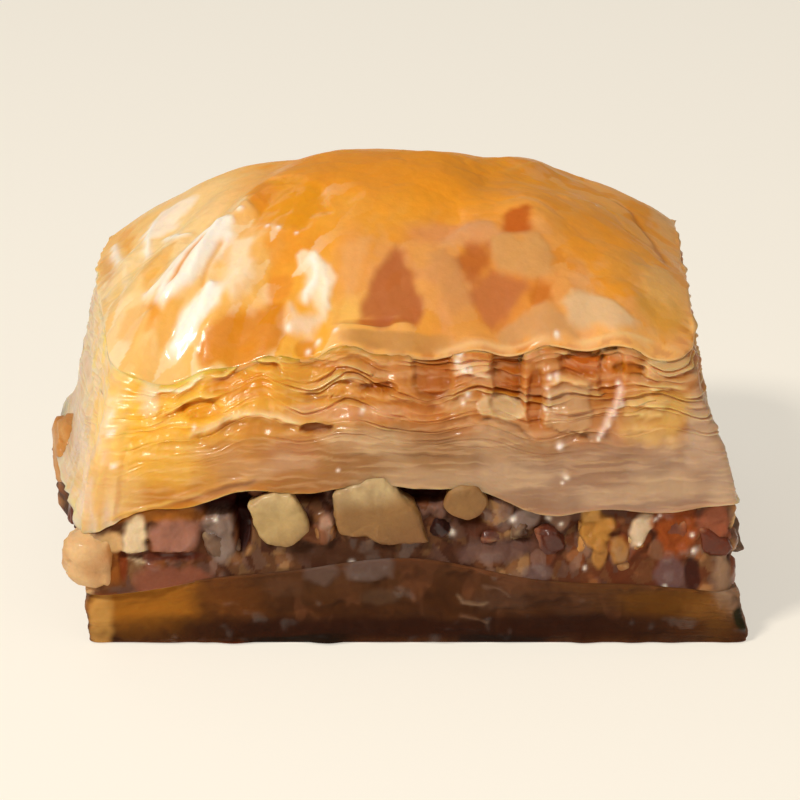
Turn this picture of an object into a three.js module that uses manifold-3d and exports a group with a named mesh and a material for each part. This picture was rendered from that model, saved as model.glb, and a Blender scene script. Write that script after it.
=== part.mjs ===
// One cut piece of walnut baklava, in millimetres, with +Z up and the tray side flat on Z = 0.
// From the bottom: a soaked bed of thin pastry sheets, a band of chopped walnuts, and a tall puffed
// stack of sheets under a domed, glazed crust. The front cut face looks along -Y.
// Each solid is a pile of closed rings, joined like a turned piece but on the plan of the cut piece.

import * as THREE from "three";
import { ConvexGeometry } from "three/addons/geometries/ConvexGeometry.js";
import { mergeVertices } from "three/addons/utils/BufferGeometryUtils.js";
import Module from "manifold-3d";

const wasm = await Module();
wasm.setup();

// Driving dimensions.
const HALF_DEPTH = 20;
const BED_HEIGHT = 4.1; // soaked sheets under the nuts, at the ends of the front face
const BED_SWELL = 2.4; // how much higher they stand in the middle
const STACK_BASE = 10.1; // underside of the puffed stack
const STACK_ARCH = 1.8; // how much higher it lies over the walnuts in the middle
const STACK_SAG = 1.7; // how much lower at its left end
const RIM_HEIGHT = 21; // edge of the crust, half way along a side
const RIM_TILT = 0.035; // how much higher the crust's edge gets with each step to the right
const CROWN = new THREE.Vector3(-1.6, 1, 29.9); // top of the dome
const DOME_HALF_WIDTH = 21.8;
const DOME_HALF_DEPTH = 17.4;
const DOME_POWER = 1.85; // roundness of the dome from the side: 2 is a parabola
const DOME_SQUARENESS = 4.5; // and in plan: 2 is an ellipse, and more is squarer
const CLEARANCE = 0.35; // between a pastry and the nuts

// Plan outlines, counter-clockwise from the front left: x, y and the corner's rounding.
const BED_PLAN = [
  [-22.2, -HALF_DEPTH, 1],
  [25, -HALF_DEPTH, 1],
  [23.2, HALF_DEPTH, 2],
  [-23.8, HALF_DEPTH, 2],
  [-23.2, 3, 6],
];
const STACK_PLAN = [
  [-22.4, -HALF_DEPTH, 2.2],
  [24, -HALF_DEPTH, 2.2],
  [23.3, HALF_DEPTH, 3],
  [-24.2, HALF_DEPTH, 3],
  [-27.4, 1, 8],
];
const CRUST_PLAN = [
  [-20.2, -16.8, 3.4],
  [20.6, -16.8, 3.4],
  [21.4, 18, 4],
  [-22.9, 18, 6],
  [-22.9, 1, 8],
];
const CORNER_POINTS = 4; // ring points round each corner
const SIDE_POINTS = [19, 15, 15, 4, 5]; // ring points along the straight after each corner
const RING_POINTS = SIDE_POINTS.reduce((sum, count) => sum + count + CORNER_POINTS, 0);

// Leaves of pastry that show as ledges on the cut faces.
const STACK_LEAVES = 9;
const BED_LEAVES = 3;
const LIP_SHARE = 0.55; // share of a leaf's height that is its edge, and not the gap above it
const TIGHT_GAP = 0.3; // depth of a gap where the sheets are pressed together
const OPEN_GAP = 1; // and where they have puffed apart, under the crust
const LEAF_RAGGEDNESS = 0.35;
const CRUST_OVERHANG = 0.5;
const CRUST_THICKNESS = 0.5;
const FRONT_LEAN = 2; // power of the curve by which the front leans in as it rises
const SIDE_LEAN = 0.6; // and of the other sides, which lean in sooner

// Walnuts cut through by the front face: x, height of the middle, width, height and depth.
const FRONT_WALNUTS = [
  { x: -21.6, z: 6.3, width: 3, height: 3.4, depth: 4 },
  { x: -16.2, z: 8.2, width: 5.2, height: 2.4, depth: 3.6 },
  { x: -16.2, z: 5.6, width: 6, height: 2.1, depth: 3.4 },
  { x: -12.5, z: 7.8, width: 2.6, height: 3.4, depth: 3 },
  { x: -5.3, z: 8.7, width: 2, height: 3, depth: 2.6 },
  { x: 2.9, z: 8.6, width: 1.8, height: 2.2, depth: 2.4 },
  { x: 6.4, z: 8, width: 2.4, height: 1.8, depth: 2.6 },
  { x: 8.4, z: 8.7, width: 2, height: 2.4, depth: 2.6 },
  { x: 10.6, z: 8, width: 2.4, height: 2.6, depth: 2.8 },
  { x: 13.5, z: 7.7, width: 2.8, height: 4.2, depth: 3.4 },
  { x: 16.6, z: 8.3, width: 1.8, height: 2.6, depth: 2.8 },
  { x: 15.9, z: 5.9, width: 2.2, height: 1.6, depth: 2.6 },
  { x: 19.6, z: 8.2, width: 3, height: 3.4, depth: 3.4 },
  { x: 18.9, z: 5.5, width: 2.6, height: 2, depth: 3 },
  { x: 22.2, z: 7.4, width: 2.4, height: 3.8, depth: 3.6 },
];

// The largest pieces in front have their own cut outlines, as x and z about the piece's middle.
const WEDGE = {
  x: -1.4,
  z: 9.6,
  depth: 4.4,
  outline: [[0.2, 2.7], [1.6, 1.1], [2.5, 0.3], [3.4, -2.4], [0.9, -2.7], [-2.8, -1.7], [-3.4, 0.8], [-1, 2.5]],
};
const BEAN = {
  x: -8.4,
  z: 9.3,
  depth: 3.6,
  outline: [[-0.3, 2.2], [0.8, 1.7], [2.2, -0.8], [1.4, -2.1], [-0.9, -2.1], [-2, -0.9], [-2.2, 1]],
};
const SLICE = { x: 4.6, z: 10.4, depth: 3.4, radius: 1.6, sides: 8 };

// The rest of the chopped walnuts, spread evenly round the piece.
const WALNUTS_ROUND = 54; // in each of two rows
const SMALLEST_WALNUT = 2.4;
const LARGEST_WALNUT = 5;
const TILT = 0.9; // span of the angles at which the pieces lie
const CORE_INSET = 1.6; // the pressed crumb behind the pieces lies this far in from the cut face

// Number helpers.
const TURN = 2 * Math.PI;
const { lerp: mix, smoothstep } = THREE.MathUtils;

// A seeded source of numbers from 0 to 1.
function randomSource(seed) {
  let state = Math.imul(seed, 2654435761);
  return () => {
    state = (state + 0x6d2b79f5) | 0;
    let mixed = Math.imul(state ^ (state >>> 15), 1 | state);
    mixed = (mixed + Math.imul(mixed ^ (mixed >>> 7), 61 | mixed)) ^ mixed;
    return ((mixed ^ (mixed >>> 14)) >>> 0) / 4294967296;
  };
}

// An uneven wave round the plan, between about -1 and 1, that closes on itself.
function ripple(seed) {
  const random = randomSource(seed);
  const waves = [2, 5, 9, 14].map((turns) => ({
    turns: turns + Math.round(2 * random()),
    phase: TURN * random(),
    size: 0.6 / Math.sqrt(turns),
  }));
  const height = (wave, u) => wave.size * Math.sin(TURN * wave.turns * u + wave.phase);
  return (u) => waves.reduce((sum, wave) => sum + height(wave, u), 0);
}

// Ring points on a plan outline with rounded corners, each with its outward direction.
function planPoints(plan) {
  const curves = plan.map(([x, y, rounding], i) => {
    const corner = new THREE.Vector2(x, y);
    const towards = (k) => {
      const other = plan[(i + k + plan.length) % plan.length];
      return new THREE.Vector2(other[0], other[1]).sub(corner).setLength(rounding).add(corner);
    };
    return new THREE.QuadraticBezierCurve(towards(-1), corner, towards(1));
  });
  const points = curves.flatMap((curve, i) => {
    const straight = new THREE.LineCurve(curve.v2, curves[(i + 1) % plan.length].v0);
    return [...curve.getPoints(CORNER_POINTS - 1), ...straight.getPoints(SIDE_POINTS[i] + 1).slice(1, -1)];
  });
  return points.map((point, i) => {
    const along = points[(i + 1) % RING_POINTS].clone().sub(points[(i + RING_POINTS - 1) % RING_POINTS]);
    return { point, out: new THREE.Vector2(along.y, -along.x).normalize() };
  });
}

// Height of the top of the soaked bed: proud in the middle, more so at the front.
function bedTop(x, y) {
  const swell = BED_SWELL * Math.exp(-(((x + 1) / 12) ** 2)) * (0.8 - 0.2 * Math.sin(0.08 * y));
  return BED_HEIGHT + swell + 0.2 * Math.sin(0.4 * x - 0.31 * y + 1.2);
}

// Height of the underside of the puffed stack: it drapes over the nuts and sags at the left end.
function stackUnderside(x, y) {
  const arch = STACK_ARCH * Math.exp(-(((x + 3) / 10.5) ** 4));
  const sag = STACK_SAG * smoothstep(-x, 16.5, 22);
  const waves = 0.25 * Math.sin(0.75 * x + 0.42 * y + 5.6) + 0.2 * Math.sin(0.61 * y - 0.34 * x + 2);
  return STACK_BASE + arch - sag + waves;
}

// Height of the crust at a place on its plan: rounded over the top, and lowest at the corners.
function domeHeight(x, y) {
  const across = Math.abs(x - CROWN.x) / DOME_HALF_WIDTH;
  const along = Math.abs(y - CROWN.y) / DOME_HALF_DEPTH;
  const reach = (across ** DOME_SQUARENESS + along ** DOME_SQUARENESS) ** (1 / DOME_SQUARENESS);
  const rim = RIM_HEIGHT + RIM_TILT * x + 0.2 * Math.sin(0.5 * x + 0.4 * y);
  return mix(CROWN.z, rim, reach ** DOME_POWER);
}

// Relief of the glazed crust: broad blisters, and folds that run down to the front left corner.
function crustRelief(x, y) {
  const blisters = 0.25 * Math.sin(0.31 * x + 0.9) * Math.sin(0.36 * y - 0.4);
  const swells = 0.14 * Math.sin(0.62 * x - 0.45 * y);
  const folds = 0.35 * Math.sin(1.25 * x - 0.8 * y) * smoothstep(-x, 5, 13) * smoothstep(-y, -8, 6);
  return blisters + swells + folds;
}

// A closed solid through rings of points, the first and last of which have shrunk to one point.
function solidThroughRings(rings) {
  const profile = rings.map((_, i) => new THREE.Vector2(i > 0 && i < rings.length - 1 ? 1 : 0, i));
  const geometry = new THREE.LatheGeometry(profile, RING_POINTS);
  const position = geometry.getAttribute("position");
  for (let turn = 0; turn <= RING_POINTS; turn++) {
    rings.forEach((ring, level) => {
      const { x, y, z } = ring[turn % RING_POINTS];
      position.setXYZ(turn * rings.length + level, x, y, z);
    });
  }
  return merged(geometry);
}

// The same surface with shared vertices and no collapsed triangles.
function merged(geometry) {
  const bare = new THREE.BufferGeometry();
  bare.setAttribute("position", geometry.getAttribute("position"));
  bare.setIndex(geometry.getIndex());
  const shared = mergeVertices(bare, 1e-4);
  const index = shared.getIndex().array;
  const kept = [];
  for (let i = 0; i < index.length; i += 3) {
    const [a, b, c] = [index[i], index[i + 1], index[i + 2]];
    if (a !== b && b !== c && c !== a) kept.push(a, b, c);
  }
  shared.setIndex(kept);
  return shared;
}

function toManifold(geometry) {
  return new wasm.Manifold(
    new wasm.Mesh({
      numProp: 3,
      vertProperties: geometry.getAttribute("position").array,
      triVerts: new Uint32Array(geometry.getIndex().array),
    }),
  );
}

function fromManifold(solid) {
  const mesh = solid.getMesh();
  const geometry = new THREE.BufferGeometry();
  geometry.setAttribute("position", new THREE.BufferAttribute(mesh.vertProperties, 3));
  geometry.setIndex(new THREE.BufferAttribute(mesh.triVerts, 1));
  return geometry;
}

// A ring at a share of the way out to an outline, at the heights that height(x, y) gives.
function flatRing(outline, share, height) {
  return outline.map(({ point }) => {
    const x = point.x * share;
    const y = point.y * share;
    return new THREE.Vector3(x, y, height(x, y));
  });
}

// Rings for the ledges of a stack of leaves. place(i, rise) gives a point, its height and its outward
// direction at a share of the way up, and gap(rise) how far a gap goes in there.
function leafRings(leaves, seed, place, gap) {
  const rings = [];
  for (let leaf = 0; leaf < leaves; leaf++) {
    const ragged = ripple(seed + leaf);
    const waver = ripple(seed + leaf + 100);
    const ring = (share, reach) =>
      Array.from({ length: RING_POINTS }, (_, i) => {
        const u = i / RING_POINTS;
        const rise = (leaf + share + 0.15 * waver(u)) / leaves;
        const { point, out, height } = place(i, rise);
        const shift = reach(u, rise);
        return new THREE.Vector3(point.x + out.x * shift, point.y + out.y * shift, height);
      });
    const lip = (u) => LEAF_RAGGEDNESS * ragged(u);
    const hollow = (u, rise) => -gap(rise) * (0.75 + 0.25 * ragged(u));
    rings.push(ring(0.15, lip), ring(0.15 + LIP_SHARE, lip));
    if (leaf < leaves - 1) rings.push(ring(0.93, hollow));
  }
  return rings;
}

// The soaked sheets at the bottom: flat underneath, pressed tight, with shallow ledges.
function soakedBed() {
  const outline = planPoints(BED_PLAN);
  const place = (i, rise) => {
    const { point, out } = outline[i];
    return { point, out, height: bedTop(point.x, point.y) * mix(0.03, 0.98, rise) };
  };
  return solidThroughRings([
    flatRing(outline, 0, () => 0),
    flatRing(outline, 0.985, () => 0),
    ...leafRings(BED_LEAVES, 40, place, () => TIGHT_GAP),
    ...[0.98, 0.75, 0.4, 0].map((share) => flatRing(outline, share, bedTop)),
  ]);
}

// The puffed stack: ledges of leaves that open towards the top, under an overhanging domed crust.
function puffedStack() {
  const low = planPoints(STACK_PLAN);
  const rim = planPoints(CRUST_PLAN);
  const place = (i, rise) => {
    const front = smoothstep(-low[i].out.y, 0.2, 0.9);
    const share = Math.max(0, rise) ** mix(SIDE_LEAN, FRONT_LEAN, front);
    const point = low[i].point.clone().lerp(rim[i].point, share);
    const out = low[i].out.clone().lerp(rim[i].out, share).normalize();
    const top = domeHeight(rim[i].point.x, rim[i].point.y) - CRUST_THICKNESS;
    return { point, out, height: mix(stackUnderside(low[i].point.x, low[i].point.y), top, rise) };
  };
  const gap = (rise) => mix(TIGHT_GAP, OPEN_GAP, smoothstep(rise, 0.25, 0.75));
  const crustEdge = (drop, overhang) =>
    rim.map(({ point, out }) => {
      const x = point.x + out.x * overhang;
      const y = point.y + out.y * overhang;
      return new THREE.Vector3(x, y, domeHeight(point.x, point.y) - drop);
    });
  const dome = (share) =>
    rim.map(({ point }) => {
      const x = mix(CROWN.x, point.x, share);
      const y = mix(CROWN.y, point.y, share);
      return new THREE.Vector3(x, y, domeHeight(x, y) + crustRelief(x, y) * smoothstep(1 - share, 0, 0.15));
    });
  return solidThroughRings([
    ...[0, 0.5, 0.97].map((share) => flatRing(low, share, stackUnderside)),
    ...leafRings(STACK_LEAVES, 60, place, gap),
    crustEdge(CRUST_THICKNESS, -CRUST_OVERHANG),
    crustEdge(CRUST_THICKNESS * 0.9, CRUST_OVERHANG),
    crustEdge(0.05, CRUST_OVERHANG * 0.8),
    ...[0.97, 0.91, 0.82, 0.7, 0.56, 0.42, 0.28, 0.14, 0].map(dome),
  ]);
}

// The hull of a cloud of corners, as one closed geometry.
function hull(corners) {
  const geometry = new ConvexGeometry(corners);
  const count = geometry.getAttribute("position").count;
  geometry.setIndex(Array.from({ length: count }, (_, i) => i));
  return merged(geometry);
}

// A chopped walnut: a block with six uneven cut faces.
function choppedWalnut({ width, height, depth }, seed) {
  const random = randomSource(seed);
  const corners = [];
  for (const side of [-1, 1]) {
    for (const end of [-1, 1]) {
      for (const level of [-1, 1]) {
        const reach = () => 0.5 * mix(0.4, 1, random());
        const corner = [side * width * reach(), end * depth * reach(), level * height * reach()];
        corners.push(new THREE.Vector3(...corner));
      }
    }
  }
  return hull(corners).rotateX(TILT * (random() - 0.5)).rotateY(TILT * (random() - 0.5));
}

// A walnut with its own outline on the cut face, a little rounded there and smaller behind.
function outlinedWalnut({ outline, depth }) {
  const section = (scale, back) =>
    outline.map(([x, z]) => new THREE.Vector3(x * scale, depth * back, z * scale));
  return hull([...section(0.88, 0), ...section(1, 0.18), ...section(0.7, 1)]);
}

// A row of walnuts round the piece, between the bed and the stack at a share of the gap's height.
function walnutRow(row, level) {
  const outline = planPoints(STACK_PLAN);
  const random = randomSource(7 + row);
  const pieces = [];
  for (let n = 0; n < WALNUTS_ROUND; n++) {
    const along = (n + 0.5 * row + 0.4 * random()) / WALNUTS_ROUND;
    const { point, out } = outline[Math.floor(along * RING_POINTS) % RING_POINTS];
    const size = mix(SMALLEST_WALNUT, LARGEST_WALNUT, random() ** 1.6);
    const inset = size * 0.42 + 0.5 * random();
    const x = point.x - out.x * inset;
    const y = point.y - out.y * inset;
    const low = bedTop(x, y) + CLEARANCE;
    const room = stackUnderside(x, y) - CLEARANCE - low;
    const height = Math.min(size * 0.8, room * 0.66);
    const z = low + height / 2 + (room - height) * mix(level, random(), 0.35);
    const turn = Math.atan2(out.y, out.x) + 0.8 * (random() - 0.5);
    const piece = choppedWalnut({ width: size, depth: size * 0.9, height }, 200 + 100 * row + n);
    const behindFront = y < 4 - HALF_DEPTH && Math.abs(x) < 22;
    if (!behindFront) pieces.push(piece.rotateZ(turn).translate(x, y, z));
  }
  return pieces;
}

// The walnut band: a pressed core with the chopped pieces fused on, trimmed clear of both pastries.
function walnutBand() {
  const outline = planPoints(STACK_PLAN);
  const moved = (distance) =>
    outline.map(({ point, out }) => ({ point: point.clone().addScaledVector(out, distance) }));
  const floor = (x, y) => bedTop(x, y) + CLEARANCE;
  const ceiling = (x, y) => stackUnderside(x, y) - CLEARANCE;
  const slab = (plan, shares) =>
    solidThroughRings([
      ...shares.map((share) => flatRing(plan, share, floor)),
      ...shares.toReversed().map((share) => flatRing(plan, share, ceiling)),
    ]);
  const core = slab(moved(-CORE_INSET), [0, 0.55, 1]);
  const slot = slab(moved(6), [0, 0.35, 0.6, 0.8, 1]);
  const disc = Array.from({ length: SLICE.sides }, (_, i) => {
    const angle = (TURN * i) / SLICE.sides;
    return [SLICE.radius * Math.cos(angle), SLICE.radius * Math.sin(angle)];
  });
  const cutFace = 0.15 - HALF_DEPTH;
  const pieces = [
    ...FRONT_WALNUTS.map((nut, n) =>
      choppedWalnut(nut, 20 + n).translate(nut.x, cutFace + nut.depth * 0.35, nut.z),
    ),
    outlinedWalnut(WEDGE).translate(WEDGE.x, cutFace - 0.3, WEDGE.z),
    outlinedWalnut(BEAN).translate(BEAN.x, cutFace - 0.3, BEAN.z),
    outlinedWalnut({ outline: disc, depth: SLICE.depth }).translate(SLICE.x, cutFace, SLICE.z),
    ...walnutRow(0, 0.15),
    ...walnutRow(1, 0.85),
  ];
  const heap = pieces.reduce((solid, piece) => solid.add(toManifold(piece)), toManifold(core));
  const bodies = heap.intersect(toManifold(slot)).decompose();
  return fromManifold(bodies.reduce((largest, body) => (body.volume() > largest.volume() ? body : largest)));
}

const soakedPastry = new THREE.MeshStandardMaterial({ color: 0x8a5420, roughness: 0.3, metalness: 0 });
const walnut = new THREE.MeshStandardMaterial({ color: 0x9a6a3c, roughness: 0.45, metalness: 0 });
const glazedPastry = new THREE.MeshStandardMaterial({ color: 0xe0983a, roughness: 0.25, metalness: 0 });

function namedMesh(name, geometry, material) {
  geometry.computeVertexNormals();
  const mesh = new THREE.Mesh(geometry, material);
  mesh.name = name;
  return mesh;
}

const baklava = new THREE.Group();
baklava.add(
  namedMesh("soaked_bed", soakedBed(), soakedPastry),
  namedMesh("walnut_filling", walnutBand(), walnut),
  namedMesh("puffed_stack", puffedStack(), glazedPastry),
);

// The origin is the middle of the piece's own box, on the face that it rests on.
const middle = new THREE.Box3().setFromObject(baklava).getCenter(new THREE.Vector3());
baklava.position.set(-middle.x, -middle.y, 0);

export default baklava;
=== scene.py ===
"""One cut piece of walnut baklava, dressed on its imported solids.

From the bottom it has a soaked bed of thin sheets, a band of chopped walnuts held by syrup, and a puffed
stack of leaves under a domed, glazed crust. Lengths in the classes are millimetres on the piece's own
plan, with +Z up and the front cut face towards -Y. The meshes are in metres, in the frame of the solids.
"""

import logging
import math
from collections.abc import Callable, Mapping, Sequence
from dataclasses import dataclass
from enum import Enum

import bpy
import numpy as np
from bpy.types import Material, Mesh, NodeSocket, Object
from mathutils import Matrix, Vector


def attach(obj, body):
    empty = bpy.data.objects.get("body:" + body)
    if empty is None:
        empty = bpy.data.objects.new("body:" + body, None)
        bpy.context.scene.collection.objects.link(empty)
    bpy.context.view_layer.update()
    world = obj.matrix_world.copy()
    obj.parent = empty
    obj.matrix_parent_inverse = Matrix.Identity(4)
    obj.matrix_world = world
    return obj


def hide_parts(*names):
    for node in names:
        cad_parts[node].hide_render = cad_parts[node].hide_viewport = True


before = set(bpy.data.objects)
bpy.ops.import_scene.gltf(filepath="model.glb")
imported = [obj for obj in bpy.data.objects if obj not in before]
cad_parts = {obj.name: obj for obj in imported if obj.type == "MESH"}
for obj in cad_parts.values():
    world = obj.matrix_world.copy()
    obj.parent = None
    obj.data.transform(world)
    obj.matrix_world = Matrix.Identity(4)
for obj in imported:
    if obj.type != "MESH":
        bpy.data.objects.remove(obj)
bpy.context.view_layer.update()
log = logging.getLogger("baklava")

Array = np.ndarray
Colour = tuple[int, int, int]  # red, green and blue from 0 to 255
MILLIMETRE = 0.001
PLAN_SHIFT = np.array([0.70124, -0.09605, 0.0])  # from the plan's own origin to the middle of the piece's box
PIECE_MIDDLE = Vector((0, 0, 0.015))


def mix(first: Array | float, second: Array | float, share: Array | float) -> Array | float:
    """The value at a share of the way from the first to the second."""
    return first + (second - first) * share


def smooth(value: Array | float, low: float, high: float) -> Array:
    """A soft step from 0 at low to 1 at high."""
    share = np.clip((np.asarray(value, dtype=float) - low) / (high - low), 0, 1)
    return share * share * (3 - 2 * share)


def bell(value: Array, width: float) -> Array:
    """A bump that is 1 at 0 and fades within about two widths."""
    return np.exp(-((value / width) ** 2))


def linear(colour: Colour) -> Array:
    """A colour as amounts of light from 0 to 1."""
    share = np.array(colour) / 255
    return np.where(share <= 0.04045, share / 12.92, ((share + 0.055) / 1.055) ** 2.4)


def rgba(colour: Colour) -> tuple[float, ...]:
    """A colour as a shader socket takes it, with full cover."""
    return *(float(part) for part in linear(colour)), 1.0


class Wash:
    """Colour laid over the vertices of a surface, one coat over the other."""

    def __init__(self, shape: tuple[int, ...], base: Colour) -> None:
        """Starts with one colour all over.

        Args:
            shape: The shape of the array of vertices.
            base: The first colour.
        """
        self.colour = np.broadcast_to(linear(base), (*shape, 3)).copy()

    def coat(self, paint: Colour | Array, cover: Array | float) -> "Wash":
        """Lays one more colour over the last.

        Args:
            paint: The colour, or an array of linear colours.
            cover: How much of it there is at each vertex, from 0 to 1.

        Returns:
            The same wash.
        """
        target = linear(paint) if isinstance(paint, tuple) else paint
        self.colour += (target - self.colour) * np.clip(cover, 0, 1)[..., None]
        return self

    def deepen(self, shares: Sequence[float], cover: Array) -> None:
        """Leaves only these shares of the red, green and blue, as much as cover says."""
        self.coat(self.colour * np.array(shares), cover)


class Grain:
    """Uneven values between about -1 and 1 that fill space smoothly, the same on every run."""

    CELLS = 24
    SHIFT = 5.3  # from one layer to the next, in cells
    GAIN = 1.7  # brings the values near 1

    def __init__(
        self, seed: int, size: float, octaves: int = 1, stretch: Sequence[float] = (1, 1, 1)
    ) -> None:
        """Draws the slopes that the values come from.

        Args:
            seed: Starts the draw.
            size: Width of a lump in millimetres.
            octaves: Number of layers, each half as wide and half as strong as the last.
            stretch: How much longer a lump is along each axis.
        """
        slopes = np.random.default_rng(seed).normal(size=(self.CELLS,) * 3 + (3,))
        self.slopes = (slopes / np.linalg.norm(slopes, axis=-1, keepdims=True)).astype(np.float32)
        self.cell = size * np.asarray(stretch, dtype=float)
        self.octaves = octaves

    def at(self, places: Array) -> Array:
        """The value at each place.

        Args:
            places: Points in millimetres, with the coordinates last.

        Returns:
            One value for each point.
        """
        total = np.zeros(places.shape[:-1])
        for octave in range(self.octaves):
            total += self._layer(places / self.cell * 2**octave + self.SHIFT * octave) / 2**octave
        return self.GAIN * total

    def _layer(self, places: Array) -> Array:
        """One layer of the values, in units of its own cell."""
        corner = np.floor(places).astype(int)
        offset = places - corner
        ease = offset**3 * (offset * (offset * 6 - 15) + 10)
        total = np.zeros(places.shape[:-1])
        for step in np.ndindex(2, 2, 2):
            index = (corner + step) % self.CELLS
            slope = self.slopes[index[..., 0], index[..., 1], index[..., 2]]
            weight = np.prod(np.where(step, ease, 1 - ease), axis=-1)
            total += weight * np.sum(slope * (offset - step), axis=-1)
        return total


class Rubble:
    """Chips of uneven tilt packed in space, of which the one that stands highest shows at each place."""

    CELLS = 16
    UNEVEN = 0.6  # how far the chips differ in height
    FALL = 1.8  # how fast a chip falls off round its centre
    MEAN = 0.25
    GAIN = 2.2  # brings the heights near 1

    def __init__(
        self, seed: int, size: float, tilt: float = 0.5, stretch: Sequence[float] = (1, 1, 1)
    ) -> None:
        """Draws the chips.

        Args:
            seed: Starts the draw.
            size: Width of a chip in millimetres.
            tilt: How steeply their faces lie.
            stretch: How much longer a chip is along each axis.
        """
        draw = np.random.default_rng(seed)
        shape = (self.CELLS,) * 3 + (3,)
        self.centres = draw.uniform(0, 1, shape)
        self.tilts = draw.normal(size=shape) * tilt
        self.numbers = draw.uniform(0, 1, shape)
        self.cell = size * np.asarray(stretch, dtype=float)

    def at(self, places: Array) -> tuple[Array, Array]:
        """The chip that shows at each place.

        Args:
            places: Points in millimetres, with the coordinates last.

        Returns:
            Heights between about -1 and 1, and two free numbers of each point's chip.
        """
        scaled = places / self.cell
        corner = np.floor(scaled).astype(int)
        best = np.full(places.shape[:-1], -np.inf)
        shown = np.zeros((*places.shape[:-1], 2))
        for step in np.ndindex(3, 3, 3):
            cell = corner + np.array(step) - 1
            index = tuple((cell % self.CELLS)[..., axis] for axis in range(3))
            away = scaled - cell - self.centres[index]
            numbers = self.numbers[index]
            slope = np.sum(self.tilts[index] * away, axis=-1)
            height = self.UNEVEN * numbers[..., 0] + slope - self.FALL * np.sum(away**2, axis=-1)
            higher = height > best
            best = np.where(higher, height, best)
            shown = np.where(higher[..., None], numbers[..., 1:], shown)
        return self.GAIN * (best - self.MEAN), shown


class Draw:
    """A seeded source of numbers from 0 to 1, the same one that lays out the solids."""

    MASK = 0xFFFFFFFF  # keeps 32 bits
    SPREAD = 2654435761  # sets neighbouring seeds far apart
    STEP = 0x6D2B79F5

    def __init__(self, seed: int) -> None:
        """Starts the draw from a seed."""
        self.state = seed * self.SPREAD & self.MASK

    def __call__(self) -> float:
        """The next number."""
        self.state = (self.state + self.STEP) & self.MASK
        mixed = (self.state ^ self.state >> 15) * (1 | self.state) & self.MASK
        mixed ^= mixed + ((mixed ^ mixed >> 7) * (61 | mixed) & self.MASK) & self.MASK
        return (mixed ^ mixed >> 14) / (self.MASK + 1)

    def between(self, low: float, high: float) -> float:
        """The next number, laid between two limits."""
        return mix(low, high, self())


@dataclass(frozen=True)
class Outline:
    """Points round a plan, counter-clockwise, each with its outward direction."""

    points: Array
    outward: Array

    def count(self) -> int:
        """Number of points."""
        return len(self.points)

    def front(self) -> Array:
        """How much each point belongs to the front cut face, from 0 to 1."""
        return smooth(-self.outward[:, 1], 0.3, 0.85)

    def rings(self, shares: Sequence[float], height: Callable[[Array, Array], Array]) -> list[Array]:
        """Rings that close a skin over the outline.

        Args:
            shares: The share of the way out of each ring.
            height: Gives the height at x and y.

        Returns:
            The points of each ring.
        """
        flat = [(self.points * share).T for share in shares]
        return [np.stack([x, y, height(x, y)], axis=1) for x, y in flat]


@dataclass(frozen=True)
class Plan:
    """The plan of a cut block, as its corners from the front left: x, y and the corner's rounding."""

    corners: tuple[tuple[float, float, float], ...]

    def outline(self, per_corner: int, per_side: Sequence[int]) -> Outline:
        """Points on the rounded outline.

        Args:
            per_corner: Number of points round each corner.
            per_side: Number of points on the straight after each corner.

        Returns:
            The outline, starting where the first corner does.
        """
        sharp = np.array([corner[:2] for corner in self.corners])
        rounding = np.array([corner[2] for corner in self.corners])[:, None]

        def towards(step: int) -> Array:
            way = np.roll(sharp, -step, axis=0) - sharp
            return sharp + way / np.linalg.norm(way, axis=1, keepdims=True) * rounding

        start, end = towards(-1), towards(1)
        pieces = []
        for k in range(len(sharp)):
            t = np.linspace(0, 1, per_corner)[:, None]
            pieces.append((1 - t) ** 2 * start[k] + 2 * t * (1 - t) * sharp[k] + t * t * end[k])
            following = start[(k + 1) % len(sharp)]
            s = np.linspace(0, 1, per_side[k] + 2)[1:-1, None]
            pieces.append(mix(end[k], following, s))
        points = np.concatenate(pieces)
        along = np.roll(points, -1, axis=0) - np.roll(points, 1, axis=0)
        outward = np.stack([along[:, 1], -along[:, 0]], axis=1)
        return Outline(points, outward / np.linalg.norm(outward, axis=1, keepdims=True))


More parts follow.
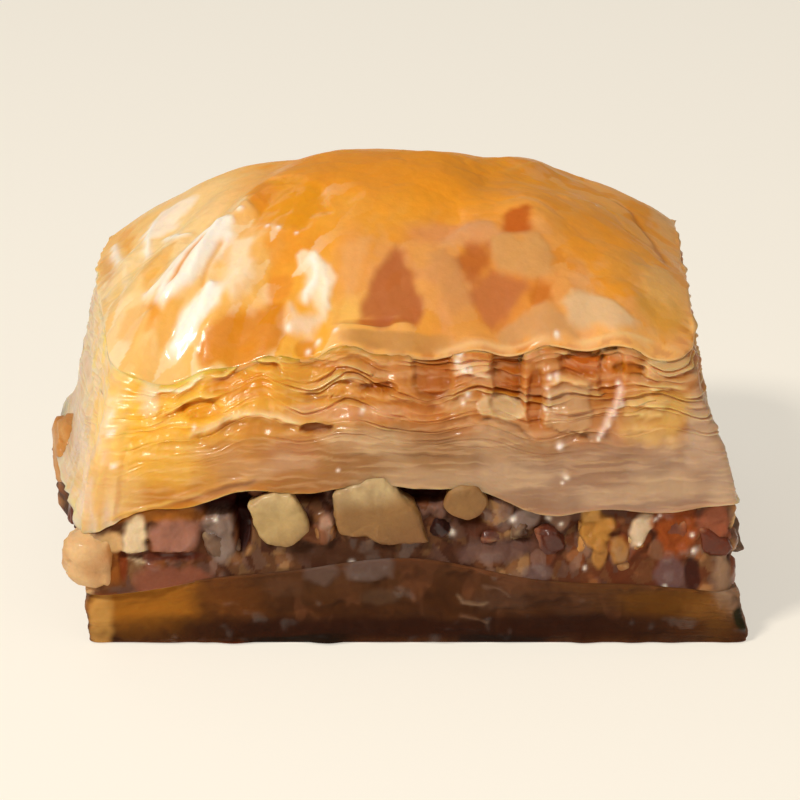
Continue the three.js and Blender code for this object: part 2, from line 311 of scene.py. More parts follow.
@dataclass(frozen=True)
class BaklavaForm:
    """The surfaces that the piece's parts share. They follow those of its solids."""

    bed_height: float = 4.1
    bed_swell: float = 2.4
    stack_base: float = 10.1
    stack_arch: float = 1.8
    stack_sag: float = 1.7
    rim_height: float = 21.0
    rim_tilt: float = 0.035
    crown: tuple[float, float, float] = (-1.6, 1.0, 29.9)
    dome_half_width: float = 21.8
    dome_half_depth: float = 17.4
    dome_power: float = 1.85
    dome_squareness: float = 4.5
    half_depth: float = 20.0

    def bed_top(self, x: Array, y: Array) -> Array:
        """Height of the top of the soaked bed."""
        swell = self.bed_swell * bell(x + 1, 12) * (0.8 - 0.2 * np.sin(0.08 * y))
        return self.bed_height + swell + 0.2 * np.sin(0.4 * x - 0.31 * y + 1.2)

    def stack_underside(self, x: Array, y: Array) -> Array:
        """Height of the underside of the puffed stack."""
        arch = self.stack_arch * np.exp(-(((x + 3) / 10.5) ** 4))
        sag = self.stack_sag * smooth(-x, 16.5, 22)
        waves = 0.25 * np.sin(0.75 * x + 0.42 * y + 5.6) + 0.2 * np.sin(0.61 * y - 0.34 * x + 2)
        return self.stack_base + arch - sag + waves

    def dome(self, x: Array, y: Array) -> Array:
        """Height of the crust before its folds and blisters."""
        across = np.abs(x - self.crown[0]) / self.dome_half_width
        along = np.abs(y - self.crown[1]) / self.dome_half_depth
        power = self.dome_squareness
        reach = (across**power + along**power) ** (1 / power)
        rim = self.rim_height + self.rim_tilt * x + 0.2 * np.sin(0.5 * x + 0.4 * y)
        shoulder = 0.7 * smooth(x, 6, 11) + 0.3 * smooth(x, 13, 17)
        return mix(self.crown[2], rim, reach**self.dome_power) + shoulder

    def crust_relief(self, x: Array, y: Array) -> Array:
        """Broad blisters, and folds that run down to the front left corner."""
        blisters = 0.25 * np.sin(0.31 * x + 0.9) * np.sin(0.36 * y - 0.4)
        swells = 0.14 * np.sin(0.62 * x - 0.45 * y)
        folds = 0.35 * np.sin(1.25 * x - 0.8 * y) * smooth(-x, 5, 13) * smooth(-y, -8, 6)
        return blisters + swells + folds


FORM = BaklavaForm()
BED_PLAN = Plan(((-22.2, -20, 1), (25, -20, 1), (23.2, 20, 2), (-23.8, 20, 2), (-23.2, 3, 6)))
STACK_PLAN = Plan(((-22.4, -20, 2.2), (24, -20, 2.2), (23.3, 20, 3), (-24.2, 20, 3), (-27.4, 1, 8)))
CRUST_PLAN = Plan(((-20.2, -16.8, 3.4), (20.6, -16.8, 3.4), (21.4, 18, 4), (-22.9, 18, 6), (-22.9, 1, 8)))
CORNER_POINTS = 11
SIDE_POINTS = (380, 76, 58, 26, 38)  # close together on the front cut face, and wider round the back


def deselect_all() -> None:
    """Leaves nothing selected, so that an operator acts on new work alone."""
    if bpy.context.object and bpy.context.object.mode != "OBJECT":
        bpy.ops.object.mode_set(mode="OBJECT")
    bpy.ops.object.select_all(action="DESELECT")


def pick(obj: Object) -> None:
    """Makes one object the only selected and active one."""
    deselect_all()
    obj.select_set(True)
    bpy.context.view_layer.objects.active = obj


def select_vertices(obj: Object, chosen: Array) -> None:
    """Selects vertices by a mask and opens the mesh for editing.

    Args:
        obj: The mesh object.
        chosen: True at each vertex to select.
    """
    pick(obj)
    mesh = obj.data
    mesh.polygons.foreach_set("select", np.zeros(len(mesh.polygons), dtype=bool))
    mesh.edges.foreach_set("select", np.zeros(len(mesh.edges), dtype=bool))
    mesh.vertices.foreach_set("select", chosen)
    bpy.context.tool_settings.mesh_select_mode = (True, False, False)
    bpy.ops.object.mode_set(mode="EDIT")


def read_places(mesh: Mesh) -> Array:
    """The vertices of a mesh as an array."""
    places = np.empty(len(mesh.vertices) * 3, dtype=np.float32)
    mesh.vertices.foreach_get("co", places)
    return places.reshape(-1, 3).astype(float)


def write_places(mesh: Mesh, places: Array) -> None:
    """Moves the vertices of a mesh, to places in its own units."""
    mesh.vertices.foreach_set("co", places.astype(np.float32).ravel())
    mesh.update()


def to_frame(places: Array) -> Array:
    """Places on the plan in millimetres, as metres in the frame of the solids."""
    return (places + PLAN_SHIFT) * MILLIMETRE


def store(mesh: Mesh, values: Mapping[str, Array]) -> None:
    """Keeps values on the vertices of a mesh, for its finish to read.

    Args:
        mesh: The mesh.
        values: For each attribute's name, a number or a linear colour for each vertex.
    """
    for name, value in values.items():
        if value.ndim == 2:
            layer = mesh.attributes.new(name, "FLOAT_COLOR", "POINT")
            full = np.concatenate([value, np.ones((len(value), 1))], axis=1)
            layer.data.foreach_set("color", full.astype(np.float32).ravel())
        else:
            layer = mesh.attributes.new(name, "FLOAT", "POINT")
            layer.data.foreach_set("value", value.astype(np.float32))


def add_grid(name: str, rows: int, columns: int) -> tuple[Object, Array, Array]:
    """Adds a flat grid, to be laid in its place.

    Args:
        name: The new piece's name.
        rows: Number of vertices along Y.
        columns: Number of vertices along X.

    Returns:
        The object, and the row and the column of each of its vertices.
    """
    deselect_all()
    bpy.ops.mesh.primitive_grid_add(x_subdivisions=columns - 1, y_subdivisions=rows - 1, size=2)
    obj = bpy.context.object
    obj.name = name
    obj.data.name = name
    flat = read_places(obj.data)
    column = np.rint((flat[:, 0] + 1) / 2 * (columns - 1)).astype(int)
    row = np.rint((flat[:, 1] + 1) / 2 * (rows - 1)).astype(int)
    return obj, row, column


def loft(
    name: str,
    rings: Array,
    values: Mapping[str, Array],
    below: Sequence[Array] = (),
    above: Sequence[Array] = (),
) -> Object:
    """Makes a closed skin through rings of points, the first and last of which have shrunk to a point.

    Args:
        name: The new piece's name.
        rings: Points in millimetres, as rings by points by coordinates, from the bottom up.
        values: Numbers or linear colours for the same points, by attribute name.
        below: More rings that close it underneath, from the middle out, with the first ring's values.
        above: More rings that close it on top, from the edge in, with the last ring's values.

    Returns:
        The skin, welded along its seam and at both ends, with its faces outwards.
    """
    rings = np.concatenate([*(ring[None] for ring in below), rings, *(ring[None] for ring in above)])
    first, last = len(below), len(above)
    values = {
        key: np.concatenate([value[:1]] * first + [value] + [value[-1:]] * last)
        for key, value in values.items()
    }
    obj, row, column = add_grid(name, rings.shape[0], rings.shape[1] + 1)
    around = column % rings.shape[1]
    write_places(obj.data, to_frame(rings[row, around]))
    store(obj.data, {key: value[row, around] for key, value in values.items()})
    ends = (row == 0) | (row == rings.shape[0] - 1)
    select_vertices(obj, ends | (column == 0) | (column == rings.shape[1]))
    bpy.ops.mesh.remove_doubles(threshold=2e-7)
    bpy.ops.object.mode_set(mode="OBJECT")
    bpy.ops.object.shade_smooth()
    return obj


def add_block(bevel: float, segments: int, cuts: int, rounds: int) -> tuple[Object, Array]:
    """Adds a cube with many faces and blunt edges, for a chopped nut.

    Args:
        bevel: Width of the bevel along its edges.
        segments: Number of faces across the bevel.
        cuts: Number of cuts through each face.
        rounds: How often it is smoothed.

    Returns:
        The object and its vertices, from -1 to 1 along each axis.
    """
    deselect_all()
    bpy.ops.mesh.primitive_cube_add(size=2)
    obj = bpy.context.object
    bpy.ops.object.mode_set(mode="EDIT")
    bpy.ops.mesh.select_all(action="SELECT")
    bpy.ops.mesh.bevel(offset=bevel, segments=segments)
    bpy.ops.mesh.subdivide(number_cuts=cuts)
    bpy.ops.mesh.vertices_smooth(factor=0.5, repeat=rounds)
    bpy.ops.object.mode_set(mode="OBJECT")
    bpy.ops.object.shade_smooth()
    places = read_places(obj.data)
    return obj, places / np.abs(places).max()


def copied(obj: Object) -> Object:
    """A copy of an object, with its own mesh."""
    copy = obj.copy()
    copy.data = obj.data.copy()
    bpy.context.collection.objects.link(copy)
    return copy


def joined(name: str, parts: Sequence[Object]) -> Object:
    """Joins pieces of one kind.

    Args:
        name: The joined piece's name.
        parts: The pieces.

    Returns:
        The joined piece.
    """
    deselect_all()
    for part in parts:
        part.select_set(True)
    bpy.context.view_layer.objects.active = parts[0]
    bpy.ops.object.join()
    parts[0].name = name
    parts[0].data.name = name
    return parts[0]


class Value:
    """A socket of a shader that Python's own operators work on."""

    def __init__(self, shader: "Shader", socket: NodeSocket) -> None:
        """Wraps an output socket of a shader."""
        self.shader = shader
        self.socket = socket

    def _math(self, operation: str, first: "Value | float", second: "Value | float") -> "Value":
        """Adds a Math node."""
        return self.shader.node("ShaderNodeMath", {"operation": operation}, {0: first, 1: second})

    def __add__(self, other: "Value | float") -> "Value":
        """The sum."""
        return self._math("ADD", self, other)

    def __sub__(self, other: "Value | float") -> "Value":
        """The difference."""
        return self._math("SUBTRACT", self, other)

    def __mul__(self, other: "Value | float") -> "Value":
        """The product."""
        return self._math("MULTIPLY", self, other)

    def __rsub__(self, other: float) -> "Value":
        """The difference from a number."""
        return self._math("SUBTRACT", other, self)

    __radd__ = __add__
    __rmul__ = __mul__


class Shader:
    """The node tree of one material, built on a Principled shader."""

    def __init__(self, name: str) -> None:
        """Makes the material.

        Args:
            name: The material's name.
        """
        self.material = bpy.data.materials.new(name)
        self.material.use_nodes = True
        self.tree = self.material.node_tree
        self.surface = self.tree.nodes["Principled BSDF"]

    def node(
        self,
        kind: str,
        settings: Mapping[str, object] | None = None,
        sockets: Mapping[str | int, object] | None = None,
        output: str | int = 0,
    ) -> Value:
        """Adds a node.

        Args:
            kind: The node's type.
            settings: Its own settings, set before its sockets.
            sockets: Values or links for its inputs.
            output: Which output to give back.

        Returns:
            That output.
        """
        made = self.tree.nodes.new(kind)
        for name, setting in (settings or {}).items():
            setattr(made, name, setting)
        for key, value in (sockets or {}).items():
            self._feed(made.inputs[key], value)
        return Value(self, made.outputs[output])

    def _feed(self, socket: NodeSocket, value: object) -> None:
        """Links a value to an input socket, or sets it there."""
        if isinstance(value, Value):
            self.tree.links.new(value.socket, socket)
        else:
            socket.default_value = value

    def finish(self, sockets: Mapping[str, object]) -> Material:
        """Feeds the Principled shader.

        Args:
            sockets: Values or links for its inputs.

        Returns:
            The finished material.
        """
        for name, value in sockets.items():
            self._feed(self.surface.inputs[name], value)
        return self.material

    def attribute(self, name: str, output: str = "Fac") -> Value:
        """A value that the mesh carries."""
        return self.node("ShaderNodeAttribute", {"attribute_name": name}, output=output)

    def place(self) -> Value:
        """The place on the object."""
        return self.node("ShaderNodeTexCoord", output="Object")

    def speckle(self, size: float, detail: float = 3, roughness: float = 0.5) -> Value:
        """Uneven values from 0 to 1.

        Args:
            size: Width of a lump in millimetres.
            detail: Number of finer layers.
            roughness: Strength of the finer layers.

        Returns:
            The values.
        """
        sockets = {"Vector": self.place(), "Scale": 1 / (size * MILLIMETRE), "Detail": detail}
        return self.node("ShaderNodeTexNoise", sockets={**sockets, "Roughness": roughness}, output="Fac")

    def brighten(self, colour: Value, factor: Value | float) -> Value:
        """A colour made lighter or darker by a factor."""
        return self.node("ShaderNodeVectorMath", {"operation": "SCALE"}, {0: colour, "Scale": factor})


@dataclass(frozen=True)
class FoodFinish:
    """Pastry or nut: the colours that its mesh carries, mottled, under an uneven film of syrup."""

    name: str
    roughness: float  # under the film
    film: float  # most of the film's weight
    film_roughness: float
    shine: float  # under the film
    softness: float  # share of the light that goes in and comes out again
    depth: float  # how far it travels inside, in millimetres
    mottle: float  # strength of the uneven colour
    mottle_size: float
    relief: float  # height of the fine relief, in millimetres
    relief_size: float

    def material(self) -> Material:
        """The material.

        Returns:
            A material that reads the attributes "tint" and "wet".
        """
        shader = Shader(self.name)
        broad = shader.speckle(self.mottle_size, 4, 0.55)
        fine = shader.speckle(self.mottle_size * 0.22, 2)
        wet = shader.attribute("wet")
        shade = 1 + (broad - 0.5) * (2 * self.mottle) + (fine - 0.5) * self.mottle
        colour = shader.brighten(shader.attribute("tint", "Color"), shade)
        height = shader.speckle(self.relief_size, 3, 0.55)
        sockets = {"Height": height, "Distance": self.relief * MILLIMETRE, "Strength": 1.0}
        return shader.finish(
            {
                "Base Color": colour,
                "Roughness": self.roughness + (1 - wet) * 0.25 + (broad - 0.5) * 0.2,
                "Coat Weight": wet * self.film,
                "Coat Roughness": self.film_roughness,
                "Coat IOR": 1.45,
                "Specular IOR Level": self.shine,
                "Subsurface Weight": self.softness,
                "Subsurface Radius": (1.0, 0.45, 0.16),
                "Subsurface Scale": self.depth * MILLIMETRE,
                "Normal": shader.node("ShaderNodeBump", sockets=sockets),
            }
        )


CRUST_FINISH = FoodFinish("glazed_crust", 0.4, 0.6, 0.11, 0.12, 0.3, 0.9, 0.09, 1.8, 0.05, 0.7)
LEAF_FINISH = FoodFinish("soaked_leaves", 0.4, 0.34, 0.12, 0.2, 0.6, 1.6, 0.09, 1.6, 0.04, 0.55)
NUT_FINISH = FoodFinish("walnut_meat", 0.42, 0.4, 0.12, 0.25, 0.3, 0.7, 0.16, 1.1, 0.09, 0.5)
PASTE_FINISH = FoodFinish("nut_paste", 0.34, 0.9, 0.07, 0.15, 0.4, 0.9, 0.16, 0.9, 0.06, 0.45)
BED_FINISH = FoodFinish("soaked_bed", 0.3, 1.0, 0.06, 0.08, 0.4, 1.2, 0.1, 1.8, 0.05, 0.6)


def hand_over(obj: Object, finish: Material, node: str) -> None:
    """Dresses a finished piece and puts it in the place of its solid.

    Args:
        obj: The piece.
        finish: Its material.
        node: The node of the solids that it stands for.
    """
    obj.data.materials.clear()
    obj.data.materials.append(finish)
    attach(obj, "root")
    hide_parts(node)
    log.info("%s: %d faces, for %s", obj.name, len(obj.data.polygons), node)


class Feature:
    """Something that a surface has in one place, with its own colour and its own lift or depth."""

    paint: Colour
    cover: float
    lift: float

    def mask(self, x: Array, z: Array, waver: Array) -> Array:
        """How much of it there is at each point, from 0 to 1."""
        raise NotImplementedError

    def lay(self, wash: Wash, x: Array, z: Array, waver: Array, share: Array | float) -> Array:
        """Paints it.

        Args:
            wash: The colours to paint on.
            x: Distances across.
            z: Heights, or distances back on the crust.
            waver: Uneven values that bend its edge.
            share: How much the surface takes of it.

        Returns:
            Its lift at each point.
        """
        mask = self.mask(x, z, waver) * share
        wash.coat(self.paint, self.cover * mask)
        return self.lift * mask


@dataclass(frozen=True)
class Patch(Feature):
    """An oval or a blunt box with a ragged edge."""

    x: float
    z: float  # height on the front face, or y on the crust
    width: float
    height: float
    paint: Colour
    cover: float = 0.8
    lift: float = 0.0
    softness: float = 0.5
    squareness: float = 2.2
    turn: float = 0.0  # degrees

    def mask(self, x: Array, z: Array, waver: Array) -> Array:
        """How much of it there is at each point, from 0 to 1."""
        angle = math.radians(self.turn)
        dx, dz = x - self.x, z - self.z
        across = (dx * math.cos(angle) + dz * math.sin(angle)) / (self.width / 2)
        along = (dz * math.cos(angle) - dx * math.sin(angle)) / (self.height / 2)
        power = self.squareness
        reach = (np.abs(across) ** power + np.abs(along) ** power) ** (1 / power)
        return smooth(1 + 0.22 * waver - reach, -self.softness / 2, self.softness / 2)


@dataclass(frozen=True)
class Stroke(Feature):
    """A line over a surface, such as a leaf's lip, a ridge or a painted highlight along the glaze."""

    points: tuple[tuple[float, float], ...]
    width: float
    lift: float
    paint: Colour
    cover: float = 0.8
    undercut: float = 0.0  # depth of the groove below it, and so of its painted shade

    SHADE = (0.78, 0.62, 0.4)  # painted shade: what the groove leaves of the red, green and blue under it

    def lay(self, wash: Wash, x: Array, z: Array, waver: Array, share: Array | float) -> Array:
        """Paints the line over the painted shade of its groove. Takes and gives what every feature does."""
        aside, along = self._nearest(x + 0.12 * waver, z + 0.1 * waver)
        taper = smooth(along, 0, 0.15) * smooth(1 - along, 0, 0.15) * share
        line = bell(aside, self.width * (1 + 0.4 * np.tanh(waver))) * taper
        groove = bell(aside + 2.2 * self.width, 1.3 * self.width) * taper * (self.undercut > 0)
        wash.deepen(self.SHADE, 0.75 * groove)
        wash.coat(self.paint, self.cover * line)
        return self.lift * line - self.undercut * groove

    def _nearest(self, x: Array, z: Array) -> tuple[Array, Array]:
        """The signed distance to the line, above it or below, and the share of the way along it."""
        points = np.array(self.points)
        steps = np.diff(points, axis=0)
        lengths = np.linalg.norm(steps, axis=1)
        run = np.concatenate([[0], np.cumsum(lengths)])
        aside = np.full(x.shape, 1e3)
        along = np.zeros(x.shape)
        for k, ((sx, sz), length) in enumerate(zip(steps, lengths)):
            dx, dz = x - points[k, 0], z - points[k, 1]
            share = np.clip((dx * sx + dz * sz) / length**2, 0, 1)
            distance = np.hypot(dx - share * sx, dz - share * sz)
            closer = distance < np.abs(aside)
            aside = np.where(closer, np.where(sx * dz < sz * dx, -distance, distance), aside)
            along = np.where(closer, (run[k] + share * length) / run[-1], along)
        return aside, along


@dataclass(frozen=True)
class Flake(Feature):
    """A torn scrap of sheet with straight broken edges, given by its corners in order."""

    corners: tuple[tuple[float, float], ...]
    paint: Colour
    cover: float = 0.8
    lift: float = 0.0
    softness: float = 0.42

    def mask(self, x: Array, z: Array, waver: Array) -> Array:
        """How much of it there is at each point, from 0 to 1."""
        corners = np.array(self.corners)
        steps = np.roll(corners, -1, axis=0) - corners
        following = np.roll(steps, -1, axis=0)
        turned = np.sign(np.sum(steps[:, 0] * following[:, 1] - steps[:, 1] * following[:, 0]))
        beyond = np.full(x.shape, -1e3)
        for (cx, cz), (sx, sz) in zip(corners, steps * turned / np.linalg.norm(steps, axis=1, keepdims=True)):
            beyond = np.maximum(beyond, (x - cx) * sz - (z - cz) * sx)
        return smooth(0.4 * waver - beyond, -self.softness, self.softness)


@dataclass(frozen=True)
class Glints(Feature):
    """Painted highlights: small spots where syrup catches the light, each given by its place and radius."""

    spots: tuple[tuple[float, float, float], ...]
    paint: Colour = (255, 242, 230)
    cover: float = 0.9
    lift: float = 0.5  # share of the radius

    def lay(self, wash: Wash, x: Array, z: Array, waver: Array, share: Array | float) -> Array:
        """Paints the highlights one by one. Takes and gives what every feature does."""
        lift = np.zeros(x.shape)
        for spot_x, spot_z, radius in self.spots:
            mask = bell(np.hypot(x - spot_x, z - spot_z) * (1 + 0.5 * np.tanh(waver)), radius) * share
            wash.coat(self.paint, self.cover * mask)
            lift += self.lift * radius * mask
        return lift


# Near-white paints for painted highlights and painted sheen on the glazed folds and lips.
HIGHLIGHT_WHITE = (255, 246, 234)
SHEEN_WHITE = (255, 240, 214)
CREAM = (250, 224, 172)
GOLD = (240, 172, 58)
AMBER = (222, 128, 28)
BURNT_AMBER = (186, 88, 22)


CRUST_FEATURES: tuple[Feature, ...] = (  # places on the plan, as x and y
    # Pale cream over the left: partly the pastry's own pale colour, partly painted sheen of light.
    Patch(-16.5, -1.8, 11.9, 23, (247, 212, 150), 0.8, 0, 1.3),
    Patch(-0.7, -0.1, 20.2, 7.4, (222, 140, 34), 0.6, 0, 1.2),
    Patch(-2.9, -7, 10.9, 4.8, (232, 162, 50), 0.5, 0, 1.2),
    Patch(13.9, -2.6, 8.9, 13.6, (234, 150, 34), 0.6, 0, 1.2),
    Patch(5.4, -12.6, 13.4, 9.6, (200, 122, 62), 0.5, 0, 1.2),
    Patch(-11.5, -16.2, 4.9, 1.2, (243, 190, 62), 0.8, 0, 1),
    Patch(-18.8, -7.4, 3.8, 4.2, (240, 188, 88), 0.7, -0.05, 0.8),
    Patch(3.6, -8.4, 6.5, 2.2, (214, 138, 84), 0.6, 0.02, 1),
    Patch(-3.2, -10.9, 2.7, 5, (226, 156, 88), 0.6, 0.04, 0.9),
    Patch(18.6, -12.4, 3.6, 4.8, (214, 156, 64), 0.7, 0, 0.8),
    Patch(-1.8, -15, 5.2, 0.5, (186, 98, 20), 0.85, -0.08, 0.4, 3),
    Patch(-0.3, -16.2, 7.7, 1.1, (192, 136, 72), 0.8, 0.05, 0.5, 2.6),
    Patch(-3.9, -14.2, 2.1, 2.8, (242, 190, 100), 0.6, 0, 0.8),
    Patch(-8.5, -12.2, 1.9, 2.1, (228, 142, 40), 0.8, -0.06, 0.6),
    Patch(-6.6, -16.3, 1.5, 1.2, (216, 136, 32), 0.8, -0.1, 0.4, 2.4),
    Flake(((-11.2, -3.1), (-10.2, -0.8), (-8.2, -1.6), (-5.7, -4), (-5, -6.6), (-7.2, -7.9), (-10.1, -7)),
        (226, 148, 16), 0.9, -0.14),
    Flake(((-11.1, -3.2), (-10.1, -1.1), (-9, -3.1), (-10, -5.9)), (216, 130, 26), 0.7, -0.04),
    Flake(((-14.3, -15.8), (-13.7, -14.5), (-11.3, -13.5), (-8.4, -13.3), (-7.9, -15), (-8.4, -16.4),
        (-10.5, -16.9), (-13.3, -16.7)), (214, 130, 8), 0.92, -0.16),
    Flake(((-18.1, -11.5), (-17, -12), (-16.8, -13.3), (-17.8, -13.8)), (230, 150, 36), 0.9, -0.12),
    Flake(((-22.8, 4.2), (-21.6, 2.2), (-20.8, -4.2), (-21.5, -5.1)), (222, 156, 84), 0.7, -0.08),
    Flake(((-17, -12.4), (-15.1, -12.2), (-15.7, -14.3), (-17, -15)), (236, 172, 74), 0.8, -0.06, 0.3),
    Flake(((-13.7, -12.9), (-12.3, -12.3), (-11.8, -13.6), (-13.6, -14.8), (-14.3, -14.6)),
        (240, 180, 84), 0.7, -0.04, 0.3),
    Flake(((-20.9, -0.8), (-19.4, -2.8), (-18, -7.8), (-18.5, -10.8), (-19.9, -9.4)),
        (246, 206, 140), 0.6, 0.05, 0.3),
    Flake(((-19.5, -11), (-18.2, -11), (-17.6, -13.7), (-18.8, -14.8), (-19.9, -13.2)),
        (238, 176, 90), 0.6, -0.05, 0.3),
    Flake(((-11.8, -8), (-9.9, -7.6), (-9.2, -10.6), (-9.7, -13.3), (-11.3, -13.3)),
        (240, 186, 104), 0.6, 0.04, 0.3),
    Flake(((-18.2, -5.3), (-16.3, -4.9), (-16.5, -8.3), (-18, -10.2), (-18.7, -7.8)),
        (236, 176, 84), 0.75, -0.08, 0.3),
    Flake(((-4.6, -9.1), (-3.4, -10), (-3.7, -13.3), (-4.5, -15.1), (-4.9, -12.6)),
        (232, 160, 70), 0.6, 0.03, 0.3),
    Flake(((-21.8, 8.9), (-20.9, 9.8), (-19.9, 1.1), (-20.3, -0.7)), (236, 160, 60), 0.8, -0.08),
    # Painted highlights on the glazed folds: the near-white flakes in the next four entries.
    Flake(((-19.4, 3), (-18.2, 5.4), (-14.3, 2.4), (-13.7, -0.9), (-16.6, -0.7), (-17.8, -4.2)),
        (255, 238, 222), 0.7, 0.08, 0.4),
    Flake(((-13.9, -5.6), (-12.1, -6.1), (-11.8, -7.7), (-13.5, -10.3), (-16.7, -12.6), (-17.2, -11.8)),
        (255, 246, 236), 0.8, 0.1, 0.4),
    Flake(((-18.4, -9.8), (-16.1, -8.4), (-14.2, -6.6), (-13.6, -7.7), (-15.2, -10), (-17.8, -11.1)),
        (255, 240, 222), 0.75, 0.1, 0.4),
    Flake(((-16, -15), (-15.4, -13), (-13.8, -11.4), (-12.3, -12.2), (-12.7, -13.2), (-15, -15.2)),
        (255, 246, 236), 0.8, 0.1, 0.4),
    Flake(((-12, -8.3), (-10.7, -8.4), (-10.6, -12), (-11.8, -13.2), (-12.6, -12.4)),
        (248, 224, 190), 0.75, 0.06),
    # Painted highlights too: this flake and the next one.
    Flake(((-7.5, -10), (-6, -9.9), (-4.9, -11), (-4.8, -12.8), (-5.3, -14.3), (-6, -13.6), (-6.7, -12.2)),
        (255, 236, 206), 0.7, 0.1, 0.3),
    Flake(((-8.2, -15), (-7.7, -13.8), (-6.7, -14.1), (-5.7, -14.6), (-6.2, -15.6), (-7.3, -15.7)),
        (238, 206, 172), 0.9, 0.1),
    Flake(((-3.9, -9.9), (-2, -8.9), (-2.8, -12.1), (-3.9, -13.9)), (228, 166, 100), 0.6, 0.04),
    Flake(((7.2, -7.3), (7.9, -5.9), (9.1, -5.5), (9.8, -7.3), (8.9, -8.4), (7.4, -8.5)),
        (194, 92, 16), 0.9, -0.1),
    Flake(((2.8, -9.7), (4.7, -7.4), (6.5, -7.4), (7.6, -8.9), (6.3, -9.8), (4, -10.1)),
        (220, 158, 102), 0.7, 0.06),
    Flake(((4.6, -9.7), (6.4, -9.5), (6.2, -11.1), (5.3, -12.9), (4.5, -12.5), (4, -11)),
        (182, 94, 34), 0.8, -0.08),
    Flake(((1.9, -10.4), (3.2, -10), (4.1, -11.5), (5.1, -14.1), (3.5, -14.5), (2.1, -12.4)),
        (204, 142, 84), 0.75, 0.08),
    Flake(((5.1, -12.9), (6.4, -11.5), (8.9, -12), (9.2, -12.8), (7.6, -14.4), (6.4, -15.5), (5.4, -14.3)),
        (188, 108, 60), 0.8, -0.05),
    Flake(((-1.1, -10.3), (-0.3, -9.4), (0.4, -10.5), (1.3, -13), (1.7, -14.6), (1, -15.2), (-1.4, -15.2),
        (-2.7, -14.7), (-2.7, -13.4), (-2, -12.2)), (176, 92, 44), 0.85, -0.1),
    Flake(((6.6, -9.3), (7.6, -8.9), (9.9, -8.6), (11, -10.3), (10.7, -11.6), (8.8, -12.2), (6.9, -11.5)),
        (212, 156, 92), 0.88, 0.12),
    Flake(((6.8, -15.8), (8.8, -14.3), (11.4, -14), (12, -15.5), (12.9, -16.2), (9.8, -16.4), (7.3, -16.4)),
        (206, 152, 96), 0.85, 0.08),
    Flake(((8.9, -13.2), (9.9, -12.4), (10.6, -12.7), (10.5, -13.8), (9.4, -13.9)),
        (194, 106, 22), 0.85, -0.1),
    Flake(((11.4, -14.2), (12.1, -13.3), (13.8, -13.1), (15.3, -13.8), (16.9, -14.4), (16.4, -15.4),
        (14.4, -15.8), (11.9, -15.5)), (224, 186, 140), 0.9, 0.16),
    Flake(((17, -8.2), (19.5, -5.9), (20.4, -9.1), (19.2, -11.7), (17.7, -11.1)),
        (226, 172, 96), 0.75, 0.08),
    Flake(((19.5, 11.9), (21.2, 10.3), (20.9, 4.1), (19.3, 4.5)), (226, 172, 106), 0.75, 0.05),
    Flake(((11.6, -5.4), (14.9, 0.5), (17.8, -1.2), (15.8, -8.9), (12.1, -10)), (236, 150, 32), 0.6, 0),
    Flake(((14.4, -8.2), (17.5, -5.2), (18, -8.7), (15, -12)), (222, 152, 60), 0.6, 0.04),
    # The near-white strokes from here to the one at -5.7 are painted highlights along the folds.
    Stroke(((-12.9, -5.5), (-13.8, -8), (-14.5, -10), (-15, -11.3), (-15.9, -11.9),
        (-17, -12)), 0.34, 0.22, HIGHLIGHT_WHITE, 0.9),
    Stroke(((-13.8, -5.3), (-14.7, -6.8), (-15.8, -8.5), (-16.7, -9.8), (-17.8, -10.5), (-18.7, -10.7)),
        0.31, 0.2, (254, 236, 214), 0.9),
    Stroke(((-13.1, -11), (-13.7, -12.3), (-14.2, -13.5), (-14.8, -14.3), (-15.6, -14.8),
        (-16.6, -15.2)), 0.41, 0.25, HIGHLIGHT_WHITE, 0.9),
    Stroke(((-15, -4.2), (-16.2, -4.2), (-17.4, -1.1)), 0.31, 0.15, HIGHLIGHT_WHITE, 0.8),
    Stroke(((-18.4, 4.5), (-18.8, 1.6), (-18.5, -4.6)), 0.28, 0.15, HIGHLIGHT_WHITE, 0.8),
    Stroke(((-22.1, 7.5), (-20.7, -1.9)), 0.28, 0.12, HIGHLIGHT_WHITE, 0.7),
    Stroke(((-13.9, -7.4), (-15, -8.9), (-15.9, -10.6), (-16.6, -11.4)), 0.21, -0.2, (226, 150, 56), 0.9),
    Stroke(((-12.5, -7.9), (-13.7, -10.3), (-14.2, -12)), 0.21, -0.16, (236, 176, 92), 0.85),
    Stroke(((-6.4, -9.9), (-5.9, -11.1), (-6, -12.1), (-6.6, -12.9),
        (-6.8, -13.9)), 0.34, 0.15, HIGHLIGHT_WHITE, 0.85),
    Stroke(((-5.7, -10.7), (-5.2, -12.1), (-5.3, -13.3), (-5, -14.2)), 0.28, 0.12, (252, 238, 214), 0.85),
    Stroke(((15.2, 6.5), (17.5, 5.7), (18.8, 1.2), (19.5, -5.5)), 0.31, -0.12, (180, 104, 30), 0.7),
    Stroke(((11.8, -0.9), (15, 2.4), (17.1, 2.7)), 0.28, 0.08, (228, 164, 84), 0.6),
    Stroke(((7.5, 3.1), (10.7, 8.2), (13.8, 8.5)), 0.28, 0.06, (226, 160, 70), 0.6),
    Stroke(((-20.1, -9.2), (-19.7, -7), (-20.5, -1.7)), 0.28, 0.1, (250, 222, 176), 0.6),
    Stroke(((2.1, -16.8), (4.9, -16.5), (7.7, -16.5), (11.2, -16.5)), 0.21, 0.05, (236, 190, 130), 0.7),
    Stroke(((11.9, -16.6), (14.7, -16.3), (18.2, -15.5)), 0.21, 0.05, (238, 196, 132), 0.7),
    # Painted highlights: spots where the glaze catches the light.
    Glints(((-11.6, -5.3, 0.22), (-9.5, -7.4, 0.17), (-8.7, -7.8, 0.19), (-7.4, -8.3, 0.11),
        (-19.8, -1, 0.17), (-5.7, -16.1, 0.22), (-6.4, -16.5, 0.17), (-4.5, -15.7, 0.17),
        (-7.8, -15.2, 0.22), (-16.7, -12.1, 0.22), (-14.8, -13.8, 0.17), (-15.8, -14.8, 0.17),
        (14.7, 1.5, 0.11), (10.9, -16.3, 0.17))),
)


